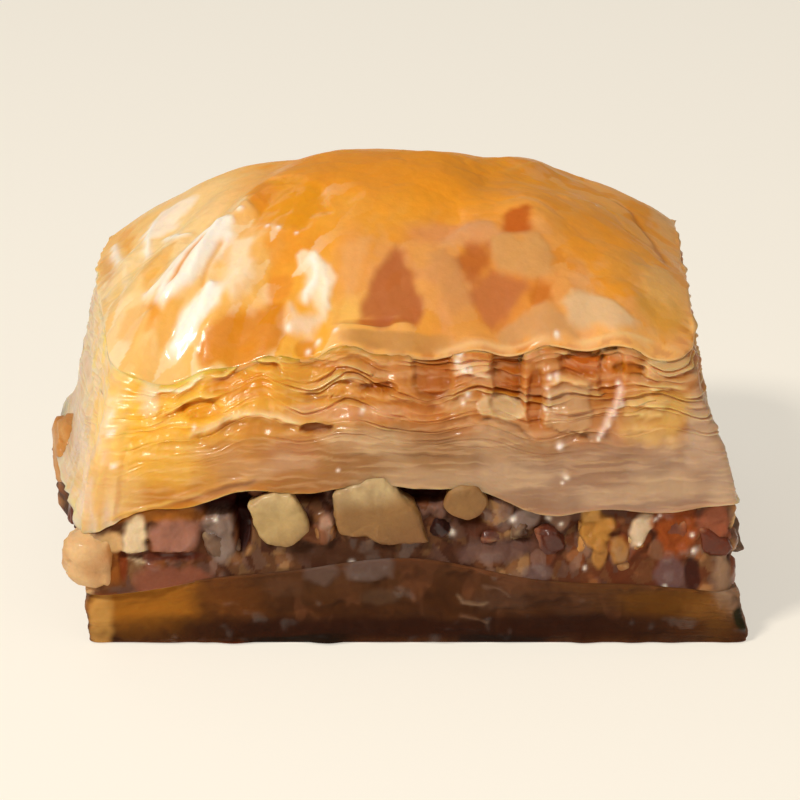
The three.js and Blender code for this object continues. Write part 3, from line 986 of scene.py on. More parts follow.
@dataclass
class GlazedCrust:
    """The domed top sheet, glazed with syrup, with its folds, blisters and flakes."""

    rings: int = 146  # from the crown to the rim
    tuck_rings: int = 4  # under the rim
    fold_angle: float = 52  # degrees from the X axis
    thickness: float = 0.2
    overhang: float = 0.08
    ragged: float = 0.26
    waves: tuple[tuple[float, float, float], ...] = (  # along the front rim: middle, width and height
        (-3.2, 2.6, 0.95), (-16, 3.2, -0.6), (1.6, 1.4, -0.35), (18.6, 2.4, -0.3), (7, 2, -0.15),
    )
    features: tuple[Feature, ...] = CRUST_FEATURES
    blister: Grain = Grain(11, 6.5, 2)
    crinkle: Grain = Grain(12, 2.3, 3)
    waver: Grain = Grain(13, 1.6, 2)
    chips: Grain = Grain(14, 1.9, 2)
    sheets: Rubble = Rubble(16, 3.6, 0.35)
    streaks: Rubble = Rubble(17, 1.3, 0.5, (3.0, 1, 1))

    def build(self) -> None:
        """Models the crust as one mat, tucks its edge under and closes it, then dresses it."""
        half = self.rings + self.tuck_rings
        obj, row, column = add_grid("glazed_crust", 2 * half + 1, 2 * half + 1)
        i, j = column - half, row - half
        ring = np.maximum(np.abs(i), np.abs(j))
        rim, outward = self._rim(i, j, ring)
        crown = np.array(FORM.crown[:2])
        share = np.minimum(ring / self.rings, 1)
        base = crown + (rim - crown) * share[:, None]
        x, y = base[:, 0], base[:, 1]
        height, wash = self.surface(x, y, share)
        at_rim = np.stack([rim[:, 0], rim[:, 1], 0 * share], axis=1)
        waver = self.chips.at(at_rim)
        torn = self.waver.at(at_rim * 0.45)
        open_edge = np.maximum(smooth(rim[:, 0], -1, 5), smooth(rim[:, 1], -10, -4))
        reach = mix(0.03, self.overhang, open_edge) + self.ragged * (0.5 * waver + torn + 0.2) * open_edge
        past = ring - self.rings
        steps = [past == k + 1 for k in range(self.tuck_rings)]
        low = mix(0.45, 0.1, open_edge)
        flat = 0 * low
        out = np.select(steps, [reach, mix(-0.35, reach - 0.1, open_edge), flat - 0.7, flat - 2])
        drop = np.select(steps, [low, low + self.thickness / 2, flat + self.thickness, flat + 0.4], 0)
        drop -= 0.12 * torn * (past >= 0) * open_edge
        places = np.stack([x + outward[:, 0] * out, y + outward[:, 1] * out, height - drop], axis=1)
        write_places(obj.data, to_frame(places))
        wash.coat((246, 206, 146), 0.6 * (past >= 1))
        wash.coat(BURNT_AMBER, 0.7 * (past >= 3))
        wet = mix(0.95, 0.5, smooth(x, -4, 4)) * mix(0.35, 1, smooth(-y, 0, 8))
        wet += 0.3 * self.blister.at(np.stack([x, y, 0 * x], axis=-1) * 1.7)
        store(obj.data, {"tint": wash.colour, "wet": np.clip(wet, 0.15, 1)})
        select_vertices(obj, ring == half)
        bpy.ops.mesh.extrude_region_move()
        bpy.ops.mesh.merge(type="CENTER")
        bpy.ops.object.mode_set(mode="OBJECT")
        bpy.ops.object.shade_smooth()
        hand_over(obj, CRUST_FINISH.material(), "puffed_stack")

    def _rim(self, i: Array, j: Array, ring: Array) -> tuple[Array, Array]:
        """The point of the rim that each vertex of the square mat goes out to.

        Args:
            i: Steps across from the middle.
            j: Steps back from the middle.
            ring: The larger of the two, without sign.

        Returns:
            Points and outward directions.
        """
        per_corner, per_side = 41, 400
        outline = CRUST_PLAN.outline(per_corner, (per_side,) * 5)
        step = np.linalg.norm(np.roll(outline.points, -1, axis=0) - outline.points, axis=1)
        run = np.concatenate([[0], np.cumsum(step)])
        middle = per_corner // 2
        corners = np.array([run[(per_corner + per_side) * k + middle] for k in range(4)])
        corners = np.append(corners, run[-1] + run[middle])
        full = np.maximum(ring, 1)
        sides = [j == -ring, i == ring, j == ring]
        turn = [(i + full) / (2 * full), 1 + (j + full) / (2 * full), 2 + (full - i) / (2 * full)]
        turn = np.select(sides, turn, 3 + (full - j) / (2 * full))
        along = np.interp(turn, np.arange(5), corners) % run[-1]
        closed = np.concatenate([outline.points, outline.points[:1]])
        outward = np.concatenate([outline.outward, outline.outward[:1]])
        rim = np.stack([np.interp(along, run, closed[:, k]) for k in (0, 1)], axis=1)
        facing = np.stack([np.interp(along, run, outward[:, k]) for k in (0, 1)], axis=1)
        return rim, facing / np.linalg.norm(facing, axis=1, keepdims=True)

    def surface(self, x: Array, y: Array, share: Array) -> tuple[Array, Wash]:
        """The crust's top.

        Args:
            x: Distances across.
            y: Distances back.
            share: Share of the way out from the crown to the rim.

        Returns:
            Heights in millimetres, and the baked colours.
        """
        flat = np.stack([x, y, 0 * x], axis=-1)
        waver, crinkled = self.waver.at(flat), self.crinkle.at(flat)
        inside = smooth(1 - share, 0, 0.15)
        facets, numbers = self.sheets.at(flat + 0.5 * waver[..., None])
        folded = smooth(-x, 2, 9) * smooth(-y, -2, 5)
        streaks, free = self._streaked(x, y, waver)
        height = FORM.dome(x, y) + FORM.crust_relief(x, y) * inside
        height += self.edge_wave(x, y) * smooth(share, 0.75, 1)
        height += (0.14 * self.blister.at(flat) + 0.07 * facets * smooth(x, -6, 2)) * inside
        height += (0.05 + 0.07 * folded) * (0.5 - np.abs(crinkled)) * mix(0.4, 1, inside)
        height += 0.05 * streaks * folded
        wash = self._baked(flat, share)
        flaky = smooth(share, 0.3, 0.6) * smooth(x, -7, -1)
        wash.coat((214, 130, 56), 0.3 * flaky * smooth(numbers[..., 0], 0.5, 0.8))
        wash.coat((236, 184, 124), 0.4 * flaky * smooth(-numbers[..., 0], -0.5, -0.2))
        wash.coat((232, 172, 116), 0.45 * flaky * smooth(crinkled, 0.0, 0.45))
        # Painted sheen: near-white on some of the chips along the folds.
        wash.coat(SHEEN_WHITE, 0.45 * folded * smooth(free[..., 0], 0.55, 0.75))
        wash.coat((240, 170, 66), 0.4 * folded * smooth(-free[..., 0], -0.35, -0.15))
        for feature in self.features:
            height += feature.lay(wash, x, y, waver, 1.0)
        return height, wash

    def _baked(self, flat: Array, share: Array) -> Wash:
        """The broad colours: amber at the crown, gold around it, pale over the front left corner."""
        x, y, _ = np.moveaxis(flat, -1, 0)
        wash = Wash(x.shape, GOLD)
        wash.coat((238, 150, 26), 0.85 * smooth(-share, -0.85, -0.35) * smooth(x, -17, -9))
        wash.coat(AMBER, 0.35 * smooth(self.blister.at(flat), 0.0, 0.7))
        wash.coat((240, 154, 36), 0.8 * smooth(x, 0, 12))
        # Pale over the front left corner: partly the pastry's own colour, partly painted sheen of light.
        wash.coat(CREAM, 0.35 * smooth(-x, 11, 18) * smooth(-y, -3, 7))
        wash.coat(CREAM, 0.12 * smooth(share, 0.9, 1.0) * smooth(x, -4, 4))
        edge = smooth(share, 0.93, 0.985) * smooth(-y, 8, 14) * smooth(x, -6, 0)
        broken = self.chips.at(flat * (1.3, 2.6, 1))
        wash.coat((196, 108, 34), 0.75 * edge * smooth(broken, 0.05, 0.3))
        wash.coat((232, 186, 130), 0.5 * edge * smooth(-broken, 0.1, 0.35))
        chips = smooth(self.chips.at(flat), 0.2, 0.5)
        wash.coat(BURNT_AMBER, 0.4 * smooth(-np.abs(share - 0.985), -0.02, 0) * chips * smooth(y, -12, -6))
        return wash

    def _streaked(self, x: Array, y: Array, waver: Array) -> tuple[Array, Array]:
        """Long chips of the sheet that lie along the folds, as heights and free numbers."""
        angle = math.radians(self.fold_angle)
        along = x * math.cos(angle) + y * math.sin(angle)
        aside = y * math.cos(angle) - x * math.sin(angle)
        return self.streaks.at(np.stack([along + 0.3 * waver, aside + 0.25 * waver, 0 * x], axis=-1))

    def edge_wave(self, x: Array, y: Array) -> Array:
        """How far the rim rises and dips along the front."""
        wave = sum(height * bell(x - middle, width) for middle, width, height in self.waves)
        return smooth(-y, 10, 16) * (wave + 0.2 * np.sin(1.3 * x + 0.6))


LEAF_FEATURES: tuple[Feature, ...] = (  # places on the front face, as x and height
    # Pale lines are leaf lips, lighter partly in their own colour and partly as painted highlight on their
    # tops.
    Patch(-16.7, 13.4, 6.9, 3.1, (232, 178, 72), 0.8, 0, 1),
    Patch(-19.6, 11.7, 3.4, 3.1, (228, 184, 112), 0.6, 0, 1),
    Patch(-11.8, 14.1, 4.6, 2.3, (196, 136, 70), 0.7, 0, 1),
    Patch(-7.6, 14.2, 4.1, 2.7, (186, 128, 84), 0.7, 0, 1),
    Patch(-1.9, 15.3, 5.8, 1.7, (198, 160, 118), 0.8, 0.05, 0.9),
    Patch(2.1, 13.9, 5.5, 2.5, (168, 126, 82), 0.6, 0, 1),
    Patch(-3.5, 17.1, 8.3, 0.9, (208, 152, 108), 0.7, 0.05, 0.8),
    Patch(13.9, 12.7, 15.2, 3.1, (168, 132, 104), 0.9, 0, 1, 2.6),
    Patch(6.9, 15.1, 4.1, 2.4, (188, 150, 112), 0.75, 0.05, 0.9),
    # Greyer at the right end: partly painted shade where the side turns from the light.
    Patch(20.9, 15.6, 2.3, 4.9, (192, 160, 132), 0.85, 0, 0.6, 2.4),
    Patch(10.1, 14.5, 4.1, 1, (168, 124, 84), 0.7, -0.05, 0.6, 2.4),
    Patch(17.8, 16.8, 4.6, 3.7, (210, 164, 88), 0.85, 0.05, 0.6, 2.4),
    # Painted highlight: a white haze of light on the syrup.
    Patch(-17.5, 17.9, 1.3, 2.8, (252, 230, 200), 0.6, 0.06, 0.7),
    Patch(-15.4, 19.2, 2.6, 1.2, (252, 206, 94), 0.95, 0, 0.6, 2.4),
    Patch(-16.4, 15.9, 2.3, 1.3, (238, 178, 66), 0.75, 0, 0.6),
    Patch(-11.1, 18.7, 4.4, 2, (220, 142, 26), 0.9, -0.16, 0.7),
    Patch(-13.9, 17, 3.2, 1.2, (228, 156, 26), 0.95, -0.4, 0.3, 2),
    Patch(-9.6, 19.9, 3.4, 0.5, (228, 152, 44), 0.8, -0.12),
    Patch(-10.9, 16, 4.4, 0.9, (206, 142, 62), 0.75, -0.08, 0.6),
    # Deep orange dents from here to the one at 16 hold painted shade, in gaps and under the crust's edge.
    Patch(-5.7, 16, 2.3, 0.7, (164, 88, 8), 1, -0.6, 0.3, 2.4),
    Patch(-1.5, 18.6, 2.6, 0.7, (174, 92, 8), 0.95, -0.4, 0.45),
    Patch(2.3, 19.9, 2.8, 4.6, (172, 94, 26), 0.9, -0.45, 0.45, 2.4),
    Patch(-5.6, 20, 2.8, 0.6, (206, 124, 42), 0.75, -0.2),
    Patch(7.5, 18.8, 2.2, 4.2, (168, 88, 16), 0.95, -0.55, 0.35, 3),
    Patch(9.4, 17.9, 1.1, 3.4, (174, 92, 18), 0.9, -0.45, 0.45, 2.6),
    Patch(12.6, 20.1, 3.4, 1.6, (182, 94, 18), 0.95, -0.55, 0.3, 3),
    Patch(14.8, 19.4, 1.8, 3.2, (188, 106, 26), 0.9, -0.5, 0.35, 2.6),
    Patch(16, 19.7, 2.2, 0.9, (178, 102, 4), 0.95, -0.45, 0.3, 2.6),
    Patch(4.9, 20, 2.5, 0.9, (224, 172, 118), 0.9, 0.14, 0.35, 2.6),
    Patch(4.2, 17.7, 2.1, 1.9, (198, 148, 92), 0.6, 0.03, 0.7),
    Patch(7, 17.3, 3, 1.3, (216, 180, 132), 0.9, 0.16, 0.22, 2.6, -14),
    Patch(11.7, 17.3, 3, 3.2, (192, 148, 104), 0.9, 0.2, 0.2, 4),
    Patch(18.7, 19.9, 3.4, 1.3, (228, 182, 130), 0.9, 0.16, 0.3, 2.6),
    Patch(-18.7, 19.8, 0.7, 1.5, (242, 180, 60), 0.9, -0.12, 0.4),
    Patch(-1, 19.5, 3.9, 1.3, (196, 132, 74), 0.6, 0, 0.8),
    # Painted highlight along the crust's lip.
    Stroke(((-18, 18.9), (-17.7, 19.8), (-17.1, 20.2), (-16.3, 20.1), (-15.3, 20.2), (-14.3, 20.2),
        (-13.4, 20.6)), 0.17, 0.25, HIGHLIGHT_WHITE, 1, 0.12),
    Stroke(((-17.7, 17.7), (-16.8, 18), (-15.5, 18.1), (-14.7, 18.4), (-14.2, 18.9), (-13.5, 19.3)), 0.15,
        0.18, (255, 230, 184), 0.95, 0.1),
    Stroke(((-13.5, 19.2), (-12.3, 19.1), (-11.3, 19.8), (-10, 20.3), (-8.9, 20.2), (-7.8, 19.6)), 0.14,
        0.16, (246, 194, 104), 0.9, 0.18),
    Stroke(((-16.9, 16.5), (-15.9, 16.9), (-14.9, 17.5), (-13.9, 17.9), (-12.4, 17.9)), 0.14, 0.15,
        (250, 196, 108), 0.9, 0.2),
    Stroke(((-14.9, 14.9), (-14.5, 15.5), (-13.5, 15.9), (-12.4, 16.4), (-11.1, 16.9), (-9.9, 17),
        (-8.6, 16.8), (-7.5, 16.5), (-6.4, 16.2)), 0.22, 0.2, (238, 202, 150), 0.95, 0.2),
    # Painted highlights down the left edge: this stroke and the second after it.
    Stroke(((-19.2, 21.8), (-19.6, 20.6), (-19.8, 18.9)), 0.21, 0.25, (255, 242, 220), 0.95),
    Stroke(((-19.3, 18.4), (-19.2, 16.9), (-19.2, 15.3), (-18.9, 13.6)), 0.28, -0.15, (226, 184, 78), 0.85),
    Stroke(((-20.1, 17.6), (-20.3, 16.3), (-20.2, 14.8)), 0.21, 0.15, (252, 224, 198), 0.85),
    Stroke(((-7.1, 18.2), (-5.8, 18.6), (-4.9, 19.1), (-4.1, 19.5), (-3.3, 19.3), (-2.5, 18.9),
        (-1.7, 18.7)), 0.15, 0.15, (224, 166, 106), 0.85, 0.2),
    # Painted shade: a darker crease under the lip above.
    Stroke(((-7, 17.7), (-4.9, 18), (-3.3, 18.1), (-1.9, 17.9)), 0.1, -0.12, (174, 104, 34), 0.75),
    Stroke(((-3.8, 20.9), (-2.9, 20.8), (-2, 20.4), (-0.6, 20.2)), 0.15, 0.12, (220, 166, 102), 0.8, 0.12),
    Stroke(((-4.3, 20.1), (-3.1, 20), (-1.7, 19.6)), 0.15, 0.1, (214, 156, 98), 0.75, 0.1),
    Stroke(((-1.4, 17.9), (-0.1, 18), (1.4, 17.7), (3.5, 17.6)), 0.12, 0.08, (208, 152, 94), 0.7, 0.08),
    # Painted shade: darker creases, in this stroke and the next two.
    Stroke(((-4.2, 14.2), (-1.4, 14.3), (1.4, 14.2), (4.3, 14.1)), 0.11, -0.08, (150, 108, 68), 0.6),
    Stroke(((5.4, 16.7), (6.8, 16.5), (7.8, 16.2), (8.6, 15.7), (9.5, 15.1)), 0.12, -0.2,
        (148, 92, 46), 0.85),
    Stroke(((10.2, 15.7), (10.6, 15.9), (11.1, 15.7), (11.7, 15.9), (12.4, 15.7), (13.4, 15.1)), 0.12, -0.22,
        (156, 100, 50), 0.85),
    Stroke(((10.3, 19.1), (11.3, 19.2), (12.3, 19), (13.4, 18.8)), 0.14, 0.15, (230, 180, 120), 0.85, 0.1),
    # Painted highlight: a bright diagonal streak.
    Stroke(((15.5, 18.8), (15.2, 18), (14.8, 17.1), (14.3, 16.2), (13.8, 15.3)), 0.25, 0.25,
        (236, 198, 180), 0.95),
    Stroke(((15.6, 17.5), (17.1, 17.6), (18.7, 17.3)), 0.14, 0.1, (224, 186, 118), 0.8, 0.06),
    Stroke(((15.3, 16.8), (17, 16.8), (18.4, 16.9)), 0.14, 0.1, (222, 182, 112), 0.8, 0.06),
    Stroke(((17.2, 18.6), (18.2, 18.7), (20, 18.4)), 0.15, 0.12, (234, 198, 138), 0.85, 0.1),
    Stroke(((3.5, 19.4), (4.9, 19.7), (6.5, 19.3)), 0.15, 0.15, (236, 198, 160), 0.9, 0.15),
    Stroke(((-16.4, 11), (-13.9, 11.7), (-11.8, 12.3), (-9.6, 12.9)), 0.2, 0.14, (206, 146, 72), 0.7, 0.12),
    Stroke(((-21, 9.3), (-19.2, 10), (-17.5, 10.5), (-15.3, 11), (-12.9, 11.8)), 0.15, 0.1,
        (224, 172, 86), 0.85),
    Stroke(((6.5, 13.8), (9.7, 13.9), (13.9, 13.7), (18.1, 13.9)), 0.11, 0.05, (180, 144, 106), 0.6),
    # Painted highlights: spots where syrup catches the light.
    Glints(((3.8, 21.5, 0.28), (4.2, 20.8, 0.17), (4, 20.2, 0.17), (4.5, 19.8, 0.22), (4.9, 19.8, 0.17),
        (4.7, 18.2, 0.17), (4.4, 17.7, 0.14), (10.4, 19.3, 0.19), (10.9, 19.3, 0.17), (10.2, 18.6, 0.17),
        (10.4, 17.9, 0.17), (10.1, 17.2, 0.14), (11.1, 14.7, 0.19), (11.6, 12.6, 0.19), (11.3, 12.2, 0.14),
        (15.2, 18.7, 0.14), (15.4, 17.7, 0.17), (14.9, 16.9, 0.17), (14.5, 16.2, 0.17), (14, 15.6, 0.17),
        (13.8, 15.3, 0.14), (-4.3, 13.2, 0.14), (-2.6, 17.3, 0.14), (-17.5, 17.9, 0.17), (-17.9, 17.3, 0.14),
        (-20.3, 15.3, 0.17), (-19.9, 13.2, 0.14), (-14.3, 16, 0.14), (-18.1, 22.3, 0.14))),
)


@dataclass
class LeafStack:
    """The puffed leaves that show on the cut faces under the crust."""

    tight_leaves: int = 12
    open_leaves: int = 13
    tight_share: float = 0.4  # of the height, taken by the leaves pressed together at the bottom
    crust_thickness: float = 0.08
    front_lean: float = 2.0
    side_lean: float = 0.6
    nut_hollow: float = 0.5  # how far the left side gives way to the nuts below it
    arches: tuple[tuple[float, ...], ...] = (  # x, width, height of its middle, spread and lift
        (-10.2, 3.0, 17.8, 2.6, 1.3),
        (-3.2, 1.9, 18.8, 1.6, 0.7),
        (1.8, 2.0, 17.5, 2.5, -0.5),
        (11, 3, 16.2, 2, -0.4),
    )
    leaf_step: float = 9.7  # sets the uneven values of one leaf apart from the next
    mean_height: float = 10.5
    features: tuple[Feature, ...] = LEAF_FEATURES
    warp: Grain = Grain(21, 5.5, 2, (1, 1, 0.55))
    edge: Grain = Grain(22, 2.4, 3)
    gaps: Grain = Grain(23, 5.5, 2)
    bite: Grain = Grain(24, 3.6, 2)
    ledges: Grain = Grain(26, 1.3, 2, (6, 6, 1))
    streaks: Grain = Grain(28, 0.42, 2, (9, 9, 1))
    creases: Grain = Grain(27, 1.1, 2, (1, 1, 3.5))
    waver: Grain = Grain(25, 1.5, 2)

    ROWS = (0.02, 0.13, 0.26, 0.34, 0.62, 0.92)  # places of a leaf's six rings in its height
    LIP = (0.75, 1.0, 0.75, 0.0, 0.0, 0.0)
    HOLLOW = (0.0, 0.0, 0.0, 0.7, 1.0, 0.55)

    def build(self) -> None:
        """Models the stack as one skin with a lip and a gap for each leaf, then dresses it."""
        low = STACK_PLAN.outline(CORNER_POINTS, SIDE_POINTS)
        rim = CRUST_PLAN.outline(CORNER_POINTS, SIDE_POINTS)
        front = low.front()
        nominal, leaf, kind = self._levels()
        rise = nominal[:, None] + self._warped(low, rim, nominal)
        places, outward = self.face(low, rim, rise)
        x, z = places[..., 0], places[..., 2]
        by_leaf = places.copy()
        by_leaf[..., 2] = self.leaf_step * leaf[:, None]
        openness = smooth(rise, 0.25, 0.7)
        lip = np.array(self.LIP)[kind][:, None]
        hollow = np.array(self.HOLLOW)[kind][:, None]
        near_crust = smooth(rise, 0.88, 0.96) * smooth(-x, -5, 1)
        calm = front * np.maximum(np.maximum(0.85 * smooth(-x, 5, 10), 0.9 * (1 - openness)), near_crust)
        opened = smooth(self.gaps.at(by_leaf), -0.1, 0.65) * (1 - calm)
        gap = mix(0.04, 0.34, openness) * mix(0.05, 1.1, opened)
        ragged = mix(0.03, 0.26, openness) * mix(0.25, 1.2, opened) * self.edge.at(by_leaf)
        bitten = smooth(self.bite.at(by_leaf), 0.25, 0.5) * openness * (1 - calm)
        corner = self._corner(x, places[..., 1])
        waver = self.waver.at(places)
        gap = gap * (1 - 0.8 * corner)
        shift = np.where(lip > 0, ragged + 0.05 * lip * (1 - calm) - bitten * gap * 0.85, -gap * hollow)
        shift += mix(0.05, 0.3, openness) * self.ledges.at(places) * (1 - 0.8 * calm) * (1 - corner)
        streaks = self.streaks.at(places + 0.12 * waver[..., None])
        shift += mix(0.05, 0.14, openness) * self.creases.at(places) * (1 - corner)
        shift += 0.05 * streaks * (1 - corner)
        shift += corner * 0.14 * np.sin(5.2 * x - 1.2 * places[..., 1] + 1.5 * waver) + 0.05 * waver
        hollowed = smooth(-x, 20, 23.5) * bell(places[..., 1] - 1, 9)
        shift -= self.nut_hollow * hollowed * smooth(-rise, -0.45, -0.12)
        cavity = np.clip(np.where(lip > 0, 0, hollow) * gap / 0.8, 0, 1.5)
        wash = self._colours(places, front, rise, lip * opened, cavity, waver, corner)
        for feature in self.features:
            shift += feature.lay(wash, x, z, waver, front)
        streaked = mix(0.13, 0.4, openness) * smooth(-streaks, 0.1, 0.5)
        wash.deepen((0.86, 0.74, 0.56), streaked)
        wash.coat((255, 222, 176), 0.14 * smooth(streaks, 0.1, 0.5))
        blotch = self.gaps.at(places * (1.2, 1, 2.2))
        tight = 1 - openness
        wash.coat((214, 180, 142), 0.4 * smooth(blotch, 0.0, 0.5) * tight * smooth(x, -17, -6))
        wash.deepen((0.85, 0.72, 0.62), 0.5 * smooth(-blotch, 0.0, 0.5) * tight)
        sag = 0.08 * openness * opened * (1 + self.edge.at(by_leaf))
        places[..., :2] += outward * shift[..., None]
        places[..., 2] -= np.where(lip > 0, sag, 0)
        wet = 0.55 + 0.3 * lip + 0.35 * waver
        values = {"tint": wash.colour, "wet": np.clip(wet, 0.1, 1)}
        below = low.rings((0, 0.5, 0.9, 0.975), FORM.stack_underside)
        level = places[-1, :, 2].min() - 0.5  # well under the crust
        above = rim.rings((0.9, 0.5, 0), lambda x, y: np.full_like(x, level))
        obj = loft("leaf_stack", places, values, below, above)
        hand_over(obj, LEAF_FINISH.material(), "puffed_stack")

    def _levels(self) -> tuple[Array, Array, Array]:
        """The rings of the leaves.

        Returns:
            For each ring its share of the stack's height, its leaf and its kind.
        """
        count = self.tight_leaves + self.open_leaves
        low = np.linspace(0, self.tight_share, self.tight_leaves + 1)
        high = np.linspace(self.tight_share, 1, self.open_leaves + 1)[1:]
        edges = np.concatenate([low, high])
        draw = Draw(9)
        edges[1:-1] += 0.4 * np.diff(edges)[1:] * np.array([draw.between(-1, 1) for _ in edges[1:-1]])
        leaf = np.repeat(np.arange(count), len(self.ROWS))
        kind = np.tile(np.arange(len(self.ROWS)), count)
        share = np.array(self.ROWS)[kind]
        return mix(edges[leaf], edges[leaf + 1], share), leaf, kind

    def _warped(self, low: Outline, rim: Outline, nominal: Array) -> Array:
        """How far the leaves leave their level, as a share of the stack's height.

        Args:
            low: The stack's outline at its bottom.
            rim: The outline at its top.
            nominal: The level of each ring.

        Returns:
            Shares for each ring and point.
        """
        places, _ = self.face(low, rim, np.broadcast_to(nominal[:, None], (len(nominal), low.count())))
        x, z = places[..., 0], places[..., 2]
        arches = sum(
            lift * bell(x - across, width) * bell(z - level, height)
            for across, width, level, height, lift in self.arches
        )
        lift = 0.45 * self.warp.at(places) + arches * low.front()
        ends = smooth(nominal, 0, 0.12) * smooth(1 - nominal, 0, 0.12)
        return lift / self.mean_height * ends[:, None]

    def face(self, low: Outline, rim: Outline, rise: Array) -> tuple[Array, Array]:
        """The bare face of the stack, before its leaves.

        Args:
            low: Its outline at the bottom.
            rim: Its outline at the top.
            rise: Share of the way up, for each ring and point.

        Returns:
            Points and outward directions.
        """
        front = smooth(-low.outward[:, 1], 0.2, 0.9)
        share = (np.clip(rise, 0, None) ** mix(self.side_lean, self.front_lean, front))[..., None]
        flat = mix(low.points, rim.points, share)
        outward = mix(low.outward, rim.outward, share)
        outward = outward / np.linalg.norm(outward, axis=-1, keepdims=True)
        bottom = FORM.stack_underside(low.points[:, 0], low.points[:, 1])
        rx, ry = rim.points[:, 0], rim.points[:, 1]
        top = FORM.dome(rx, ry) + CRUST.edge_wave(rx, ry) - self.crust_thickness
        height = mix(bottom, top, rise)
        return np.concatenate([flat, height[..., None]], axis=-1), outward

    def _corner(self, x: Array, y: Array) -> Array:
        """How near a point is to the melted front left corner, from 0 to 1."""
        return smooth(-x, 18.4, 20.2) * smooth(-y, 8, 14)

    def _colours(
        self, places: Array, front: Array, rise: Array, lip: Array, cavity: Array, waver: Array, corner: Array
    ) -> Wash:
        """Lays the broad colours of the leaves.

        Args:
            places: The points.
            front: How much each column belongs to the front face.
            rise: Share of the way up.
            lip: How much each point is a leaf's edge.
            cavity: How deep each point lies.
            waver: Uneven values.
            corner: How near each point is to the front left corner.

        Returns:
            The colours.
        """
        x = places[..., 0]
        across = smooth(x, -19, 3)[..., None]
        far = smooth(x, 0, 14)[..., None]
        upper = mix(linear((244, 186, 56)), linear((194, 122, 52)), across)
        upper = mix(upper, linear((186, 118, 54)), far)
        lower = mix(linear((196, 128, 36)), linear((150, 110, 72)), across)
        lower = mix(lower, linear((164, 130, 104)), far)
        wash = Wash(x.shape, GOLD)
        wash.coat(lower, 1.0)
        wash.coat(upper, smooth(rise + 0.05 * waver, 0.3, 0.62))
        wash.coat((216, 196, 168), 0.85 * smooth(-x, 20.5, 23) * (1 - front))
        # Greyer at the right end: partly painted shade where the side turns from the light.
        wash.coat((196, 166, 140), 0.7 * smooth(x, 20.5, 23))
        blotches = smooth(self.gaps.at(places * (1, 1, 1.6)), 0.1, 0.6) * (1 - front)
        wash.coat((200, 160, 122), 0.5 * blotches)
        # Painted shade: deeper orange in the gaps between the leaves, by how deep they lie.
        deep = mix(linear((228, 146, 34)), linear((170, 92, 30)), across)
        wash.coat(deep, 0.7 * smooth(cavity, 0.15, 0.9) * smooth(rise, 0.2, 0.5))
        # Paler lips: partly their own colour, partly painted highlight where their tops catch the light.
        pale = mix(linear((255, 230, 176)), linear((226, 182, 128)), across)
        wash.coat(pale, lip * mix(0.2, 0.5, smooth(rise, 0.3, 0.7)))
        wash.coat((246, 214, 150), 0.5 * corner)
        veil = smooth(self.creases.at(places * (1, 1, 0.4)), -0.2, 0.4) * smooth(-x, 18.6, 20.4)
        return wash.coat((224, 200, 180), 0.55 * veil)


class NutKind(Enum):
    """How a chopped walnut looks: its cut face, its skin and how much of it is skin."""

    PALE = ((218, 176, 124), (190, 130, 72), 0.3)
    CREAMY = ((184, 154, 102), (160, 124, 72), 0.15)
    GOLDEN = ((194, 134, 66), (156, 92, 34), 0.3)
    PINK = ((178, 126, 100), (140, 84, 60), 0.5)
    KERNEL = ((144, 104, 58), (122, 84, 46), 0.15)
    TOASTED = ((150, 98, 50), (112, 64, 28), 0.3)
    ROSY_SKIN = ((128, 74, 48), (86, 40, 26), 0.6)
    DARK_SKIN = ((76, 40, 30), (44, 20, 16), 0.6)
    SYRUPY = ((140, 66, 26), (96, 38, 12), 0.5)
    GLASSY = ((112, 84, 64), (78, 50, 34), 0.3)

    def __init__(self, face: Colour, skin: Colour, skinned: float) -> None:
        """Names the parts of the value."""
        self.face = face
        self.skin = skin
        self.skinned = skinned


@dataclass(frozen=True)
class Nut:
    """A chopped walnut in the front cut face: x, height of its middle, width, height and depth."""

    x: float
    z: float
    width: float
    height: float
    depth: float
    kind: NutKind


@dataclass(frozen=True)
class CutNut:
    """A large walnut with its own outline on the cut face, as x and z about its middle."""

    x: float
    z: float
    depth: float
    outline: tuple[tuple[float, float], ...]
    kind: NutKind
    rounding: float = 0.3


